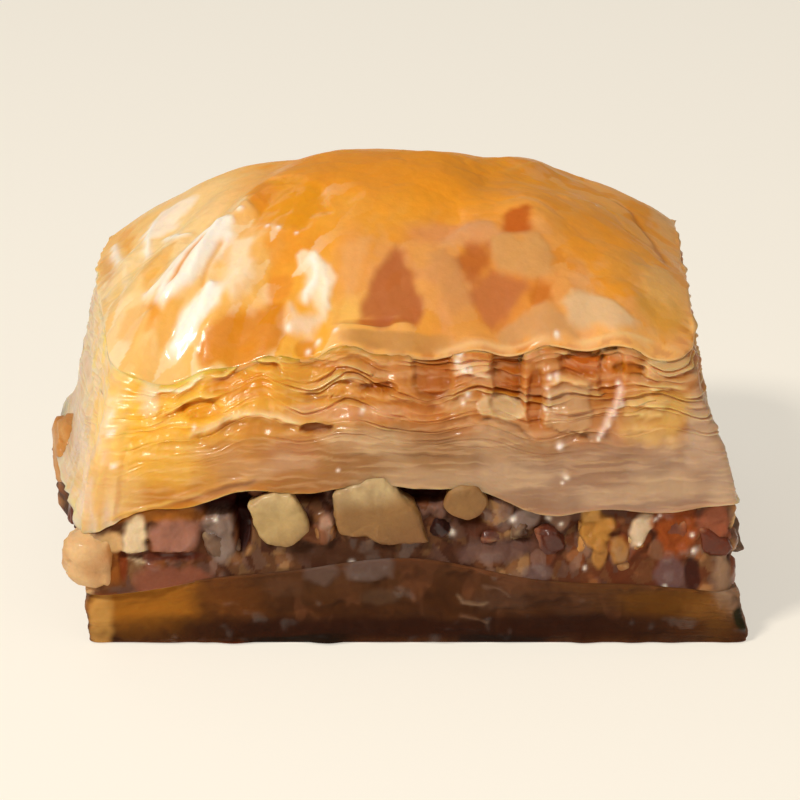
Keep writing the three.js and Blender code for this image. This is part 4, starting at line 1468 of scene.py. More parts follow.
PASTE_FEATURES: tuple[Feature, ...] = (  # places on the front face, as x and height
    # Orange-brown under the stack's lip: partly painted shade.
    Patch(-17.5, 9.7, 7.6, 1.1, (160, 94, 26), 0.9, -0.1, 0.5, 3),
    Patch(-18.6, 8.1, 1.7, 3.2, (228, 202, 162), 0.95, 0.35, 0.4),
    Patch(-20.3, 7.7, 1.7, 1.5, (208, 166, 112), 0.9, 0.2, 0.5, 2.4),
    Patch(-15.8, 8.3, 3.6, 2.3, (160, 108, 88), 0.9, 0.2, 0.5, 2.4),
    Patch(-22.2, 6.4, 2.5, 3.8, (216, 174, 126), 0.95, 0.5, 0.4, 2.4),
    Patch(-22, 5.2, 2.1, 1.2, (190, 138, 82), 0.7, 0, 0.6),
    Patch(-20.2, 6, 1.7, 2.1, (138, 76, 18), 0.9, 0.05, 0.5, 2.4),
    # Painted shade: this dark seam and the next lie in creases between nuts.
    Patch(-19.5, 6.1, 0.6, 1.8, (116, 44, 4), 0.85, -0.2, 0.5, 2.4),
    Patch(-16.5, 6.8, 5.9, 0.5, (84, 30, 8), 0.95, -0.35, 0.5, 3),
    Patch(-15.9, 5.2, 5, 2.1, (132, 76, 54), 0.95, 0.35, 0.4, 2.4),
    # Painted shade: this dark cavity and the next.
    Patch(-12.2, 10.6, 4.1, 1.8, (66, 16, 2), 0.95, -1.6, 0.4, 2.6),
    Patch(-11, 9.3, 1.1, 4.2, (66, 18, 2), 0.95, -1.2, 0.4, 2.6),
    Patch(-12.7, 8.3, 2.3, 3.2, (128, 106, 94), 0.95, 0.35, 0.4, 2.3),
    # Painted shade in a dark cavity.
    Patch(-6.4, 11.4, 2.3, 1.6, (74, 28, 4), 0.95, -1.4, 0.4, 2.4),
    Patch(-5.2, 8.7, 1.1, 2, (166, 126, 102), 0.95, 0.5, 0.4, 2.4),
    # Painted shadow: a dark band below the large nuts.
    Patch(-3.2, 7.2, 9.6, 1.5, (66, 34, 12), 0.85, -0.1, 0.8, 3),
    Patch(-5.9, 8.3, 2, 1.2, (124, 74, 44), 0.85, 0.25, 0.5, 2.4),
    # Painted shade: this dark cavity and the next two.
    Patch(1.4, 11.5, 3.4, 2.1, (48, 6, 2), 1, -1.8, 0.35, 2.6),
    Patch(-3.3, 12.5, 3, 0.9, (76, 30, 8), 0.9, -1, 0.5, 2.4),
    Patch(7.2, 11.6, 3.4, 1.3, (74, 26, 4), 0.9, -0.9, 0.5, 2.4),
    Patch(2.7, 9.9, 1, 1.1, (110, 78, 64), 0.8, 0.3),
    Patch(7.4, 10.1, 1.1, 1.2, (116, 86, 70), 0.8, 0.3),
    Patch(8.8, 9.3, 1.8, 1.5, (132, 110, 100), 0.85, 0.35, 0.45, 2.3),
    Patch(5.6, 8.6, 2.8, 1.2, (92, 46, 26), 0.7, 0.15, 0.6),
    Patch(11.2, 9.5, 1.7, 2.3, (140, 106, 86), 0.85, 0.3, 0.45, 2.3),
    Patch(13.7, 8.6, 2.5, 2.7, (178, 124, 54), 0.95, 0.4, 0.4, 1.8),
    Patch(13.4, 9.6, 1.4, 1.1, (206, 154, 84), 0.85, 0.1),
    Patch(14.1, 6.8, 1, 1.8, (172, 120, 58), 0.9, 0.3, 0.45, 2),
    Patch(15.4, 7.1, 1.2, 2, (166, 118, 60), 0.85, 0.3, 0.45, 2.3),
    Patch(16.9, 8.7, 1.5, 2.6, (208, 182, 150), 0.95, 0.45, 0.35, 2.2, -18),
    Patch(19.3, 8.6, 3.2, 3.3, (146, 68, 18), 0.9, 0.25, 0.5, 2.4),
    Patch(22.1, 9, 2.5, 2.7, (156, 88, 60), 0.9, 0.25, 0.5, 2.4),
    Patch(19.1, 5.5, 2.3, 2, (108, 76, 72), 0.9, 0.25, 0.45, 2.3),
    # Painted shade in a dark gap.
    Patch(20.6, 5.5, 1.2, 2, (58, 16, 4), 0.9, -0.3, 0.5, 2.4),
    Patch(23.2, 5.5, 2.1, 3.4, (152, 120, 94), 0.9, 0.1, 0.6, 2.4),
    Patch(7, 7.2, 4.8, 1.2, (104, 74, 66), 0.7, 0.15, 0.7),
    Patch(9.6, 5.7, 1.9, 1.2, (106, 80, 74), 0.8, 0.15, 0.6),
    # Painted shade in a dark gap.
    Patch(4.9, 9.5, 2.1, 0.9, (80, 36, 12), 0.7, -0.2, 0.6),
    Patch(17.9, 7.1, 1.1, 1.4, (124, 82, 56), 0.8, 0.2),
    # Painted highlights: spots where syrup catches the light.
    Glints(((-12.9, 9.4, 0.17), (-13.2, 8, 0.14), (-10.6, 8.6, 0.11), (-3.4, 6.5, 0.19), (-3.7, 6.1, 0.17),
        (-3.5, 5.2, 0.14), (-9.1, 5.5, 0.17), (-7.5, 4.6, 0.14), (-13.9, 3.5, 0.14), (1.8, 3.5, 0.14),
        (3.4, 6.3, 0.14), (3.6, 8.4, 0.14), (7.9, 9.4, 0.22), (10.4, 9.4, 0.19), (11, 9.9, 0.17),
        (11.7, 10.3, 0.17), (11.3, 9, 0.14), (13, 6, 0.14), (17.9, 9.3, 0.17), (18.2, 9.6, 0.14),
        (20.5, 8.2, 0.17), (20.6, 7, 0.14), (18.7, 4.8, 0.14), (13.4, 2.1, 0.14), (12.7, 1.2, 0.11),
        (2.1, 1.1, 0.14), (1.7, 1.1, 0.11), (9.9, 2.9, 0.14), (-3, 1.6, 0.14), (-11.8, 0.8, 0.11),
        (16.8, 7.6, 0.14))),
)


@dataclass
class WalnutBand:
    """The chopped walnuts between the bed and the stack, in a dark syrupy paste."""

    clearance: float = 0.35
    cut_face: float = 0.15 - FORM.half_depth
    front_zone: float = 4 - FORM.half_depth  # in front of this y, the front has nuts of its own
    nuts_round: int = 54
    smallest: float = 2.4
    largest: float = 5.0
    tilt: float = 0.9
    least_reach: float = 0.4  # least share of a nut's half width that a corner of it reaches
    front_scale: float = 1.2  # for the size that the bending takes from a nut
    side_scale: float = 1.35
    crumbs: int = 110
    sunk: float = 0.45  # share of a front nut's depth that its middle lies behind the cut face
    side_nuts: tuple[tuple[float, float, float, float, float, float, NutKind], ...] = (
        (-21.7, -18.9, 6.6, 3.4, 4.0, 4.0, NutKind.PALE),  # x, y, height of its middle, and its three sizes
        (-24.3, -3.0, 8.3, 3.6, 6.4, 4.4, NutKind.GOLDEN),
        (-23.4, 4.4, 8.6, 3.4, 6.0, 4.0, NutKind.PALE),
        (-22.8, -10.0, 7.8, 3.0, 5.6, 3.6, NutKind.SYRUPY),
        (-23.2, 10.2, 8.2, 3.2, 6.0, 3.6, NutKind.GOLDEN),
    )
    front_nuts: tuple[Nut, ...] = (
        Nut(-16.2, 8.2, 5.2, 2.4, 3.6, NutKind.GOLDEN),
        Nut(-16.2, 5.6, 6, 2.1, 3.4, NutKind.PINK),
        Nut(-12.5, 7.8, 2.6, 3.4, 3, NutKind.GLASSY),
        Nut(-5.3, 8.7, 2, 3, 2.6, NutKind.TOASTED),
        Nut(2.9, 8.6, 1.8, 2.2, 2.4, NutKind.DARK_SKIN),
        Nut(6.4, 8, 2.4, 1.8, 2.6, NutKind.ROSY_SKIN),
        Nut(8.4, 8.7, 2, 2.4, 2.6, NutKind.GLASSY),
        Nut(10.6, 8, 2.4, 2.6, 2.8, NutKind.ROSY_SKIN),
        Nut(13.5, 7.7, 2.8, 4.2, 3.4, NutKind.GOLDEN),
        Nut(16.6, 8.3, 1.8, 2.6, 2.8, NutKind.PALE),
        Nut(15.9, 5.9, 2.2, 1.6, 2.6, NutKind.TOASTED),
        Nut(19.6, 8.2, 3, 3.4, 3.4, NutKind.SYRUPY),
        Nut(22.2, 7.4, 2.4, 3.8, 3.6, NutKind.SYRUPY),
    )
    outline_noise: float = 0.14
    cut_nuts_stand: float = 0.42  # how far the large nuts stand out from the cut face
    cut_nuts: tuple[CutNut, ...] = (
        CutNut(
            -1.4, 9.6, 4.4,
            (
                (-3.2, 2), (-1.6, 2.7), (0.1, 3.2), (0.9, 2.5), (1.4, 1.7), (2.5, 1), (3.5, -1.9),
                (0.8, -2.1), (-1.1, -1.5), (-2.8, -1.3), (-3.3, 0.2),
            ),
            NutKind.KERNEL,
        ),
        CutNut(
            -8.4, 9.3, 3.6,
            (
                (-2.3, 1.4), (-0.5, 2.3), (0.8, 2.2), (1.5, 1.1), (2.1, -0.3), (1.7, -1.2), (0.4, -1.9),
                (-0.9, -1.8), (-1.6, -0.9), (-1.9, 0),
            ),
            NutKind.CREAMY,
        ),
        CutNut(
            4.6, 10.8, 3.4,
            tuple((1.65 * math.cos(math.tau * k / 8), 1.4 * math.sin(math.tau * k / 8)) for k in range(8)),
            NutKind.KERNEL, 0.45,
        ),
    )
    features: tuple[Feature, ...] = PASTE_FEATURES
    lumps: Grain = Grain(31, 2.0, 3)
    blotch: Grain = Grain(32, 1.3, 2)
    patches: Grain = Grain(33, 3.4, 2)
    chunks: Rubble = Rubble(34, 2.0, 0.6)
    bits: Rubble = Rubble(35, 0.8, 0.6)

    PROFILE = (  # of a large nut: share of its outline, and share of its depth behind the cut
        (0, 0.02), (0.25, 0.015), (0.5, 0.01), (0.72, 0.0), (0.86, 0.0), (0.94, 0.02), (0.99, 0.08),
        (1.0, 0.18), (0.94, 0.4), (0.84, 0.7), (0.7, 1.0), (0.4, 1.05), (0, 1.06),
    )

    def build(self) -> None:
        """Models the paste, the nuts and the crumbs, and dresses them."""
        hand_over(self._paste(), PASTE_FINISH.material(), "walnut_filling")
        finish = NUT_FINISH.material()
        hand_over(self._kernels(), finish, "walnut_filling")
        hand_over(self._large_nuts(), finish, "walnut_filling")
        hand_over(self._crumbs(), finish, "walnut_filling")

    def _inset(self, outline: Outline) -> Array:
        """How far the paste lies behind the outline: least at the front left and where nuts bulge."""
        x, y = outline.points.T
        face = 0.55 - 0.5 * smooth(-x, 13, 17)
        side = 1.3 - 1.1 * smooth(-x, 18, 22) * bell(y - 1, 11)
        side -= smooth(x, 18, 22) * smooth(-y, 8, 15)
        return mix(side, face, outline.front())

    def _paste(self) -> Object:
        """The pressed crumb and syrup behind the nuts.

        Returns:
            One closed lumpy slab.
        """
        outline = STACK_PLAN.outline(CORNER_POINTS, SIDE_POINTS)
        edge = outline.points - outline.outward * self._inset(outline)[:, None]
        levels = np.linspace(0, 1, 40)
        rings = [self._slab_ring(edge * share, 0.0) for share in (0, 0.5, 0.9)]
        rings += [self._slab_ring(edge, level) for level in levels]
        rings += [self._slab_ring(edge * share, 1.0) for share in (0.9, 0.5, 0)]
        places = np.stack(rings)
        bulge = np.zeros(len(places))
        bulge[3:-3] = np.sin(math.pi * np.clip(levels, 0.05, 0.95)) ** 0.5
        bent = places + 0.25 * self.blotch.at(places)[..., None]
        lumps, numbers = self.chunks.at(bent)
        bits, own = self.bits.at(bent)
        front = outline.front()
        waver = self.blotch.at(places)
        rough = mix(0.42, 0.16, front)
        relief = rough * lumps + 0.45 * rough * bits + 0.14 * waver + 0.06 * self.lumps.at(places * 2.3)
        shift = bulge[:, None] * relief
        wash = self._rubble_colours(places[..., 0], front, lumps, bits, numbers, own)
        for feature in self.features:
            shift += feature.lay(wash, places[..., 0], places[..., 2], 1.3 * waver, front) * bulge[:, None]
        # Painted shade: near black where the surface sinks in.
        wash.coat((44, 8, 3), 0.85 * smooth(-shift, 0.3, 1.1) * front)
        wet = smooth(lumps + 0.8 * bits + waver, -0.4, 0.8) * smooth(shift, -0.7, -0.1)
        hang = np.zeros(len(places))
        hang[3:-3] = smooth(-levels, -0.55, 0)
        hang = hang[:, None] * front
        shift = mix(shift, 0.5, 0.8 * hang)
        places[..., 2] -= hang * (0.45 + 1.3 * self.patches.at(places[:1] * (1.4, 1, 0)))
        places[..., :2] += outline.outward * shift[..., None]
        return loft("nut_paste", places, {"tint": wash.colour, "wet": wet})

    def _rubble_colours(
        self, x: Array, front: Array, lumps: Array, bits: Array, numbers: Array, own: Array
    ) -> Wash:
        """Colours the chips in the paste: rosy at the left, dark in the middle, reddish at the right.

        Args:
            x: Distances across.
            front: How much each column belongs to the front face.
            lumps: Heights of the large chips.
            bits: Heights of the small ones.
            numbers: Free numbers of the large chips.
            own: Free numbers of the small ones.

        Returns:
            The colours.
        """
        wash = Wash(x.shape, (78, 40, 18))
        wash.coat((128, 62, 26), smooth(x, 8, 14))
        wash.coat((124, 70, 30), smooth(-x, 12, 16) * front)
        side = 1 - 0.75 * front
        choice = 0.65 * numbers[..., 0] + 0.35 * own[..., 0]
        wash.coat((138, 84, 46), side * smooth(choice, 0.4, 0.46))
        wash.coat((176, 126, 78), side * smooth(choice, 0.58, 0.63))
        wash.coat((204, 160, 106), side * smooth(choice, 0.74, 0.78))
        wash.coat((122, 88, 74), 0.7 * smooth(own[..., 1], 0.62, 0.7))
        # Painted shade where the chips lie low.
        wash.coat((48, 18, 6), mix(0.85, 0.55, front) * smooth(-lumps - 0.3 * bits, 0.1, 0.7))
        return wash

    def _slab_ring(self, flat: Array, level: float) -> Array:
        """A ring between the two pastries, at a share of the height between them."""
        x, y = flat.T
        floor = FORM.bed_top(x, y) + self.clearance * 0.6
        ceiling = FORM.stack_underside(x, y) - self.clearance * 0.3
        return np.stack([x, y, mix(floor, ceiling, level)], axis=1)

    def _chopped(
        self, block: Object, cube: Array, corners: Array, turn: Array, middle: Array, kind: NutKind, seed: int
    ) -> Object:
        """A copy of the block, bent to a nut's own eight corners.

        Args:
            block: The object to copy.
            cube: Its vertices, from -1 to 1.
            corners: The nut's corners, by side, end and level.
            turn: How it lies, as a 3 by 3 matrix.
            middle: Its place.
            kind: How it looks.
            seed: Makes its relief its own.

        Returns:
            The nut.
        """
        obj = copied(block)
        share = (cube + 1) / 2
        bent = np.zeros_like(cube)
        for corner in np.ndindex(2, 2, 2):
            weight = np.prod(np.where(corner, share, 1 - share), axis=1)
            bent += weight[:, None] * corners[corner]
        size = min(np.linalg.norm(corners.reshape(-1, 3), axis=1).mean(), 2)
        own = cube * size + np.array([17.0 * seed, 5.0, 3.0])
        bumps = self.lumps.at(own * 1.3)
        bent = bent * (1.04 + 0.17 * bumps + 0.05 * self.blotch.at(own * 2))[:, None]
        places = bent @ turn.T + middle
        self._colour_nut(obj, places, cube, own, kind)
        return obj

    def _colour_nut(self, obj: Object, places: Array, cube: Array, own: Array, kind: NutKind) -> None:
        """Puts a nut in its place and lays its colours.

        Args:
            obj: The nut.
            places: Its vertices in millimetres.
            cube: The same vertices in the block, from -1 to 1.
            own: Places to read the uneven values at.
            kind: How it looks.
        """
        write_places(obj.data, to_frame(places))
        skin = smooth(self.patches.at(own * 0.8) + 2 * kind.skinned - 0.9 + 0.3 * np.abs(cube[:, 2]), 0, 0.25)
        blotches = self.blotch.at(own)
        wash = Wash(skin.shape, kind.face)
        wash.coat(kind.skin, skin)
        wash.coat((226, 196, 144), 0.2 * smooth(blotches, 0.2, 0.7) * (1 - skin))
        wash.coat(kind.skin, 0.4 * smooth(-blotches, 0.2, 0.7))
        store(obj.data, {"tint": wash.colour, "wet": np.clip(0.55 + 0.5 * skin, 0, 1)})

    def _corners(self, width: float, height: float, depth: float, draw: Draw) -> Array:
        """Eight uneven corners, drawn as for the solids."""
        corners = np.zeros((2, 2, 2, 3))
        for corner in np.ndindex(2, 2, 2):
            reach = [0.5 * mix(self.least_reach, 1, draw()) for _ in range(3)]
            signs = np.array(corner) * 2 - 1
            corners[corner] = signs * np.array([width, depth, height]) * np.array(reach)
        return corners

    def _turned(self, draw: Draw, around: float) -> Array:
        """How a nut lies: tilted as its solid is, then turned about the upright."""
        tilt_x = self.tilt * (draw() - 0.5)
        tilt_y = self.tilt * (draw() - 0.5)
        cx, sx, cy, sy = math.cos(tilt_x), math.sin(tilt_x), math.cos(tilt_y), math.sin(tilt_y)
        cz, sz = math.cos(around), math.sin(around)
        about_x = np.array([[1, 0, 0], [0, cx, -sx], [0, sx, cx]])
        about_y = np.array([[cy, 0, sy], [0, 1, 0], [-sy, 0, cy]])
        about_z = np.array([[cz, -sz, 0], [sz, cz, 0], [0, 0, 1]])
        return about_z @ about_y @ about_x

    def _kernels(self) -> Object:
        """The chopped nuts in the front face and in two rows round the piece.

        Returns:
            All of them as one mesh.
        """
        block, cube = add_block(bevel=0.3, segments=2, cuts=3, rounds=6)
        length = np.linalg.norm(cube, axis=1, keepdims=True)
        blunt, lumpy = cube / length**0.7, cube / length**0.6
        nuts = []
        for n, nut in enumerate(self.front_nuts):
            draw = Draw(20 + n)
            corners = self._corners(nut.width, nut.height, nut.depth, draw)
            middle = np.array([nut.x, self.cut_face + nut.depth * self.sunk, nut.z])
            turn = self._turned(draw, 0)
            corners *= self.front_scale
            nuts.append(self._chopped(block, blunt, corners, turn, middle, nut.kind, n))
        for n, (x, y, z, width, depth, height, kind) in enumerate(self.side_nuts):
            corners = self._corners(width, height, depth, Draw(60 + n)) * self.side_scale
            middle = np.array([x, y, z])
            nuts.append(self._chopped(block, lumpy, corners, np.eye(3), middle, kind, 90 + n))
        kinds = [kind for kind in NutKind if kind not in (NutKind.PALE, NutKind.CREAMY)]
        for row, level in enumerate((0.15, 0.85)):
            nuts += self._row(block, cube, row, level, kinds)
        bpy.data.objects.remove(block)
        return joined("walnut_kernels", nuts)

    def _row(
        self, block: Object, cube: Array, row: int, level: float, kinds: list[NutKind]
    ) -> list[Object]:
        """A row of nuts round the piece, where the solids have them.

        Args:
            block: The object to copy.
            cube: Its vertices.
            row: Number of the row.
            level: Share of the height between the pastries.
            kinds: The looks to choose from.

        Returns:
            The nuts.
        """
        outline = STACK_PLAN.outline(4, (19, 15, 15, 4, 5))
        draw = Draw(7 + row)
        nuts = []
        for n in range(self.nuts_round):
            along = (n + 0.5 * row + 0.4 * draw()) / self.nuts_round
            index = int(along * outline.count()) % outline.count()
            point, out = outline.points[index], outline.outward[index]
            size = mix(self.smallest, self.largest, draw() ** 1.6)
            inset = size * 0.42 + 0.5 * draw()
            x, y = point - out * inset
            low = FORM.bed_top(x, y) + self.clearance
            room = FORM.stack_underside(x, y) - self.clearance - low
            height = min(size * 0.8, room * 0.66)
            z = low + height / 2 + (room - height) * mix(level, draw(), 0.35)
            around = math.atan2(out[1], out[0]) + 0.8 * (draw() - 0.5)
            if (y < self.front_zone and abs(x) < 23) or (x < -18 and y < 13):
                continue  # the front and the left side have nuts of their own
            own = Draw(200 + 100 * row + n)
            corners = self._corners(size, height, size * 0.9, own)
            turn = self._turned(own, around)
            kind = kinds[(n * 5 + row * 3) % len(kinds)]
            seed = 40 + n + 60 * row
            nuts.append(self._chopped(block, cube, corners, turn, np.array([x, y, z]), kind, seed))
        return nuts

    def _large_nuts(self) -> Object:
        """The nuts that have their own outline on the cut face.

        Returns:
            All of them as one mesh.
        """
        return joined("cut_walnuts", [self._cut_nut(nut, seed) for seed, nut in enumerate(self.cut_nuts)])

    def _cut_nut(self, nut: CutNut, seed: int) -> Object:
        """One large nut: a flat cut face, a blunt edge and a body that narrows behind.

        Args:
            nut: Its sizes.
            seed: Makes its relief its own.

        Returns:
            The nut.
        """
        sharp = np.array(nut.outline)
        following = np.roll(sharp, -1, axis=0)
        if np.sum(sharp[:, 0] * following[:, 1] - sharp[:, 1] * following[:, 0]) < 0:
            sharp = sharp[::-1]
        plan = Plan(tuple((x, z, nut.rounding) for x, z in sharp))
        outline = plan.outline(7, (9,) * len(sharp)).points
        reach, back = (column[:, None] for column in np.array(self.PROFILE[::-1]).T)
        x, z = outline.T[:, None] * reach
        y = self.cut_face - self.cut_nuts_stand + nut.depth * back
        places = np.stack([x + nut.x, y + 0 * x, z + nut.z], axis=-1)
        own = places + np.array([11.0 * seed, 0, 0])
        bumps = self.lumps.at(own * 1.2)
        places[..., 1] += 0.16 * bumps + 0.05 * self.blotch.at(own * 1.7)
        places[..., 0] += self.outline_noise * self.blotch.at(own * 1.3) * reach
        places[..., 2] += self.outline_noise * self.blotch.at(own[..., ::-1] * 1.3) * reach
        shape = bumps.shape
        patches = self.patches.at(own)
        wash = Wash(shape, nut.kind.face)
        upper = places[..., 2] - nut.z
        lower = (places[..., 0] - nut.x) * 0.5 - upper
        # Painted highlight: paler towards the top of the cut face.
        wash.coat((206, 180, 132), 0.75 * smooth(upper + 0.6 * patches - 0.3 * lower, 0.9, 3.0))
        wash.coat(nut.kind.skin, 0.35 * smooth(-self.blotch.at(own), 0.1, 0.7))
        # Painted shade: darker towards the lower right.
        wash.coat((118, 76, 40), 0.6 * smooth(lower + 0.5 * self.blotch.at(own), 0.0, 2.6))
        wash.coat(nut.kind.skin, 0.8 * smooth(back, 0.1, 0.4))
        wash.coat(nut.kind.skin, 0.5 * smooth(reach, 0.9, 1.0) * smooth(-back, -0.1, 0))
        return loft("cut_walnut", places, {"tint": wash.colour, "wet": np.full(shape, 0.45)})

    def _crumbs(self) -> Object:
        """Small crumbs of nut pressed into the paste.

        Returns:
            All of them as one mesh.
        """
        block, ball = add_block(bevel=0.35, segments=1, cuts=2, rounds=4)
        outline = STACK_PLAN.outline(CORNER_POINTS, (40,) * 5)
        inset = self._inset(outline)
        draw = Draw(5)
        kinds = [NutKind.ROSY_SKIN, NutKind.SYRUPY, NutKind.TOASTED, NutKind.KERNEL]
        parts = []
        for n in range(self.crumbs):
            index = int(draw() * outline.count())
            size = mix(0.25, 0.7, draw() ** 2)
            flat = outline.points[index] - outline.outward[index] * (inset[index] - 0.1 - 0.25 * draw())
            if flat[0] < -19 or flat[1] < self.front_zone:
                continue
            level = mix(0.06, 0.94, draw())
            middle = self._slab_ring(flat[None], level)[0]
            limits = ((0.7, 1.4), (0.7, 1.4), (0.6, 1.1))
            stretch = np.array([draw.between(*pair) for pair in limits]) * size
            own = ball * size * 2 + np.array([n * 3.1, 1.0, 7.0])
            turned = ball @ self._turned(draw, math.tau * draw())
            shape = turned * stretch * (1 + 0.2 * self.blotch.at(own * 0.7))[:, None]
            part = copied(block)
            kind = kinds[int(draw() * len(kinds))]
            self._colour_nut(part, shape + middle, ball, own, kind)
            parts.append(part)
        bpy.data.objects.remove(block)
        return joined("nut_crumbs", parts)


BED_FEATURES: tuple[Feature, ...] = (  # places on the front face, as x and height
    Patch(-18.3, 3.4, 9, 4.6, (158, 98, 26), 0.95, 0, 0.9, 2.4),
    Patch(-21.2, 1.9, 1.8, 3.9, (196, 146, 76), 0.85, 0.05, 0.7, 2.4),
    Patch(-12, 3.8, 4.8, 3.8, (104, 58, 20), 0.7, 0, 1),
    Patch(-5.6, 4.9, 10.3, 3.1, (78, 46, 22), 0.7, 0, 1),
    # Grey on glassy lumps, here and in the next patch: partly their own grey, partly painted reflection.
    Patch(-5.6, 5.4, 2.3, 1.7, (98, 76, 66), 0.75, 0.15),
    Patch(-2, 5.8, 3.2, 1.8, (100, 80, 72), 0.8, 0.15),
    Patch(-8.1, 4.3, 2.8, 1.5, (92, 58, 36), 0.6, 0.08, 0.7),
    Patch(-1.4, 3.7, 2.5, 1.2, (86, 62, 44), 0.6, 0.08, 0.7),
    Patch(14.1, 4.8, 6.2, 1.8, (92, 56, 26), 0.8, 0.05, 0.8),
    Patch(18.6, 3.2, 7.6, 2, (106, 64, 14), 0.7, 0, 1.3),
    Patch(22, 2.2, 3.4, 3.4, (126, 80, 30), 0.7, 0, 1.2),
    Patch(23.6, 5.2, 2.6, 3.6, (150, 122, 98), 0.9, 0.05, 1.1),
    Patch(2.1, 1.2, 38.6, 1.7, (42, 14, 3), 0.85, -0.06, 0.9, 4),
    Patch(20.5, 1.1, 2.8, 1.4, (74, 36, 8), 0.6, 0, 0.8),
    Patch(-7.1, 0.3, 7.6, 0.8, (22, 12, 4), 0.9, 0.05, 0.7, 3),
    Patch(7.1, 0.3, 6.2, 0.8, (24, 12, 6), 0.8, 0.05, 0.7, 3),
    Patch(24.6, 1.9, 1.1, 1.7, (30, 28, 10), 0.95, 0.1),
    Patch(7.1, 3.4, 4.1, 1.5, (84, 56, 40), 0.5, 0.08, 0.8),
    # Painted highlights: pale glinting arcs, in this stroke and the next four.
    Stroke(((3.9, 3.9), (4.5, 3.3), (5.5, 3.1), (6.4, 3.2)), 0.12, 0.1, (130, 104, 82), 0.7),
    Stroke(((4.1, 2.5), (5.2, 2), (6.5, 1.5)), 0.12, 0.08, (110, 80, 60), 0.6),
    Stroke(((-9.1, 5.4), (-8.7, 5.8), (-7.7, 6), (-7, 5.9)), 0.15, 0.12, (128, 98, 82), 0.75),
    Stroke(((5.6, 4.3), (7, 4.2), (7.9, 3.6)), 0.12, 0.08, (112, 84, 66), 0.6),
    Stroke(((8.4, 6.4), (9.8, 6.3), (11, 5.5)), 0.12, 0.1, (110, 84, 74), 0.6),
)


@dataclass
class SoakedBed:
    """The thin sheets at the bottom, pressed tight and soaked dark."""

    leaves: int = 12
    relief: float = 0.014
    leaf_step: float = 6.1  # sets the uneven values of one sheet apart from the next
    right_lean: float = 1.1  # how far the right end leans in towards the top
    edge: Grain = Grain(41, 2.2, 3)
    pool: Grain = Grain(42, 4.5, 2)
    glaze: Grain = Grain(43, 1.2, 2)
    lumps: Rubble = Rubble(44, 1.7, 0.5, (2.2, 2.2, 0.8))
    features: tuple[Feature, ...] = BED_FEATURES

    ROWS = (0.05, 0.3, 0.5, 0.85)
    SHIFT = (0.7, 1.0, 0.5, -1.0)

    def build(self) -> None:
        """Models the bed as one skin of shallow ledges, and dresses it."""
        outline = BED_PLAN.outline(CORNER_POINTS, SIDE_POINTS)
        top = FORM.bed_top(*outline.points.T)
        leaf = np.repeat(np.arange(self.leaves), len(self.ROWS))
        kind = np.tile(np.arange(len(self.ROWS)), self.leaves)
        level = (leaf + np.array(self.ROWS)[kind]) / self.leaves
        flat = np.broadcast_to(outline.points, (len(level), outline.count(), 2))
        height = top * mix(0.02, 0.985, level)[:, None]
        places = np.concatenate([flat, height[..., None]], axis=-1)
        front = outline.front()
        by_leaf = places.copy()
        by_leaf[..., 2] = self.leaf_step * leaf[:, None]
        ends = smooth(level, 0, 0.06)[:, None] * smooth(1 - level, 0, 0.1)[:, None]
        ledge = np.array(self.SHIFT)[kind][:, None] * self.relief * (0.5 + self.pool.at(places))
        ragged = 0.03 * self.edge.at(by_leaf)
        lumps, _ = self.lumps.at(places + 0.3 * self.glaze.at(places)[..., None])
        glaze = self.glaze.at(places)
        shift = ledge + ragged + 0.06 * lumps + 0.1 * glaze + 0.16 * self.pool.at(places)
        wash = self._colours(places, level, front, lumps)
        for feature in self.features:
            shift += feature.lay(wash, places[..., 0], places[..., 2], glaze, front)
        uneven = self.pool.at(by_leaf * (1.3, 1.3, 1)) - 0.2
        bottom = smooth(-level, -0.12, 0)[:, None] * 0.3 * uneven
        places[..., :2] += outline.outward * (shift * ends + bottom)[..., None]
        places[..., 2] += 0.22 * self.pool.at(places * (1, 1, 2)) * ends
        places[..., 0] -= self._lean(places[..., 0]) * level[:, None]
        values = {"tint": wash.colour, "wet": smooth(0.7 * lumps + glaze, 0.3, 1.0)}
        below = outline.rings((0, 0.5, 0.985), lambda x, y: 0 * x)
        above = outline.rings((0.975, 0.75, 0.4, 0), FORM.bed_top)
        for ring in above:
            ring[:, 0] -= self._lean(ring[:, 0])
        obj = loft("soaked_sheets", places, values, below, above)
        hand_over(obj, BED_FINISH.material(), "soaked_bed")

    def _colours(self, places: Array, level: Array, front: Array, lumps: Array) -> Wash:
        """Lays the broad colours of the soaked sheets.

        Args:
            places: The points.
            level: Share of the way up of each ring.
            front: How much each column belongs to the front face.
            lumps: Heights of the glassy lumps.

        Returns:
            The colours.
        """
        x = places[..., 0]
        pool, glaze = self.pool.at(places), self.glaze.at(places)
        rise = np.broadcast_to(level[:, None], x.shape)
        wash = Wash(x.shape, (74, 40, 15))
        wash.coat((92, 54, 28), smooth(rise, 0.55, 0.9))
        crumbly = smooth(self.edge.at(places * (1, 1, 0.5)) + rise, 0.8, 1.0) * front
        wash.coat((104, 62, 36), 0.7 * crumbly)
        wash.coat((146, 92, 38), 0.85 * (1 - front))
        wash.coat((146, 114, 90), 0.8 * smooth(x, 21.5, 24) * smooth(rise, 0.3, 0.7))
        dark = smooth(-rise + 0.08 * glaze, -0.34, -0.18)
        wash.coat((66, 32, 10), 0.7 * dark * (1 - front))
        wash.coat((92, 62, 44), 0.3 * smooth(pool, 0.1, 0.6))
        wash.coat((50, 22, 8), 0.35 * smooth(-glaze, 0.2, 0.7))
        return wash.coat((40, 16, 5), 0.3 * smooth(-lumps, 0.1, 0.7))

    def _lean(self, x: Array) -> Array:
        """How far a point near the right end moves in at the top."""
        return self.right_lean * smooth(x, 21, 25)


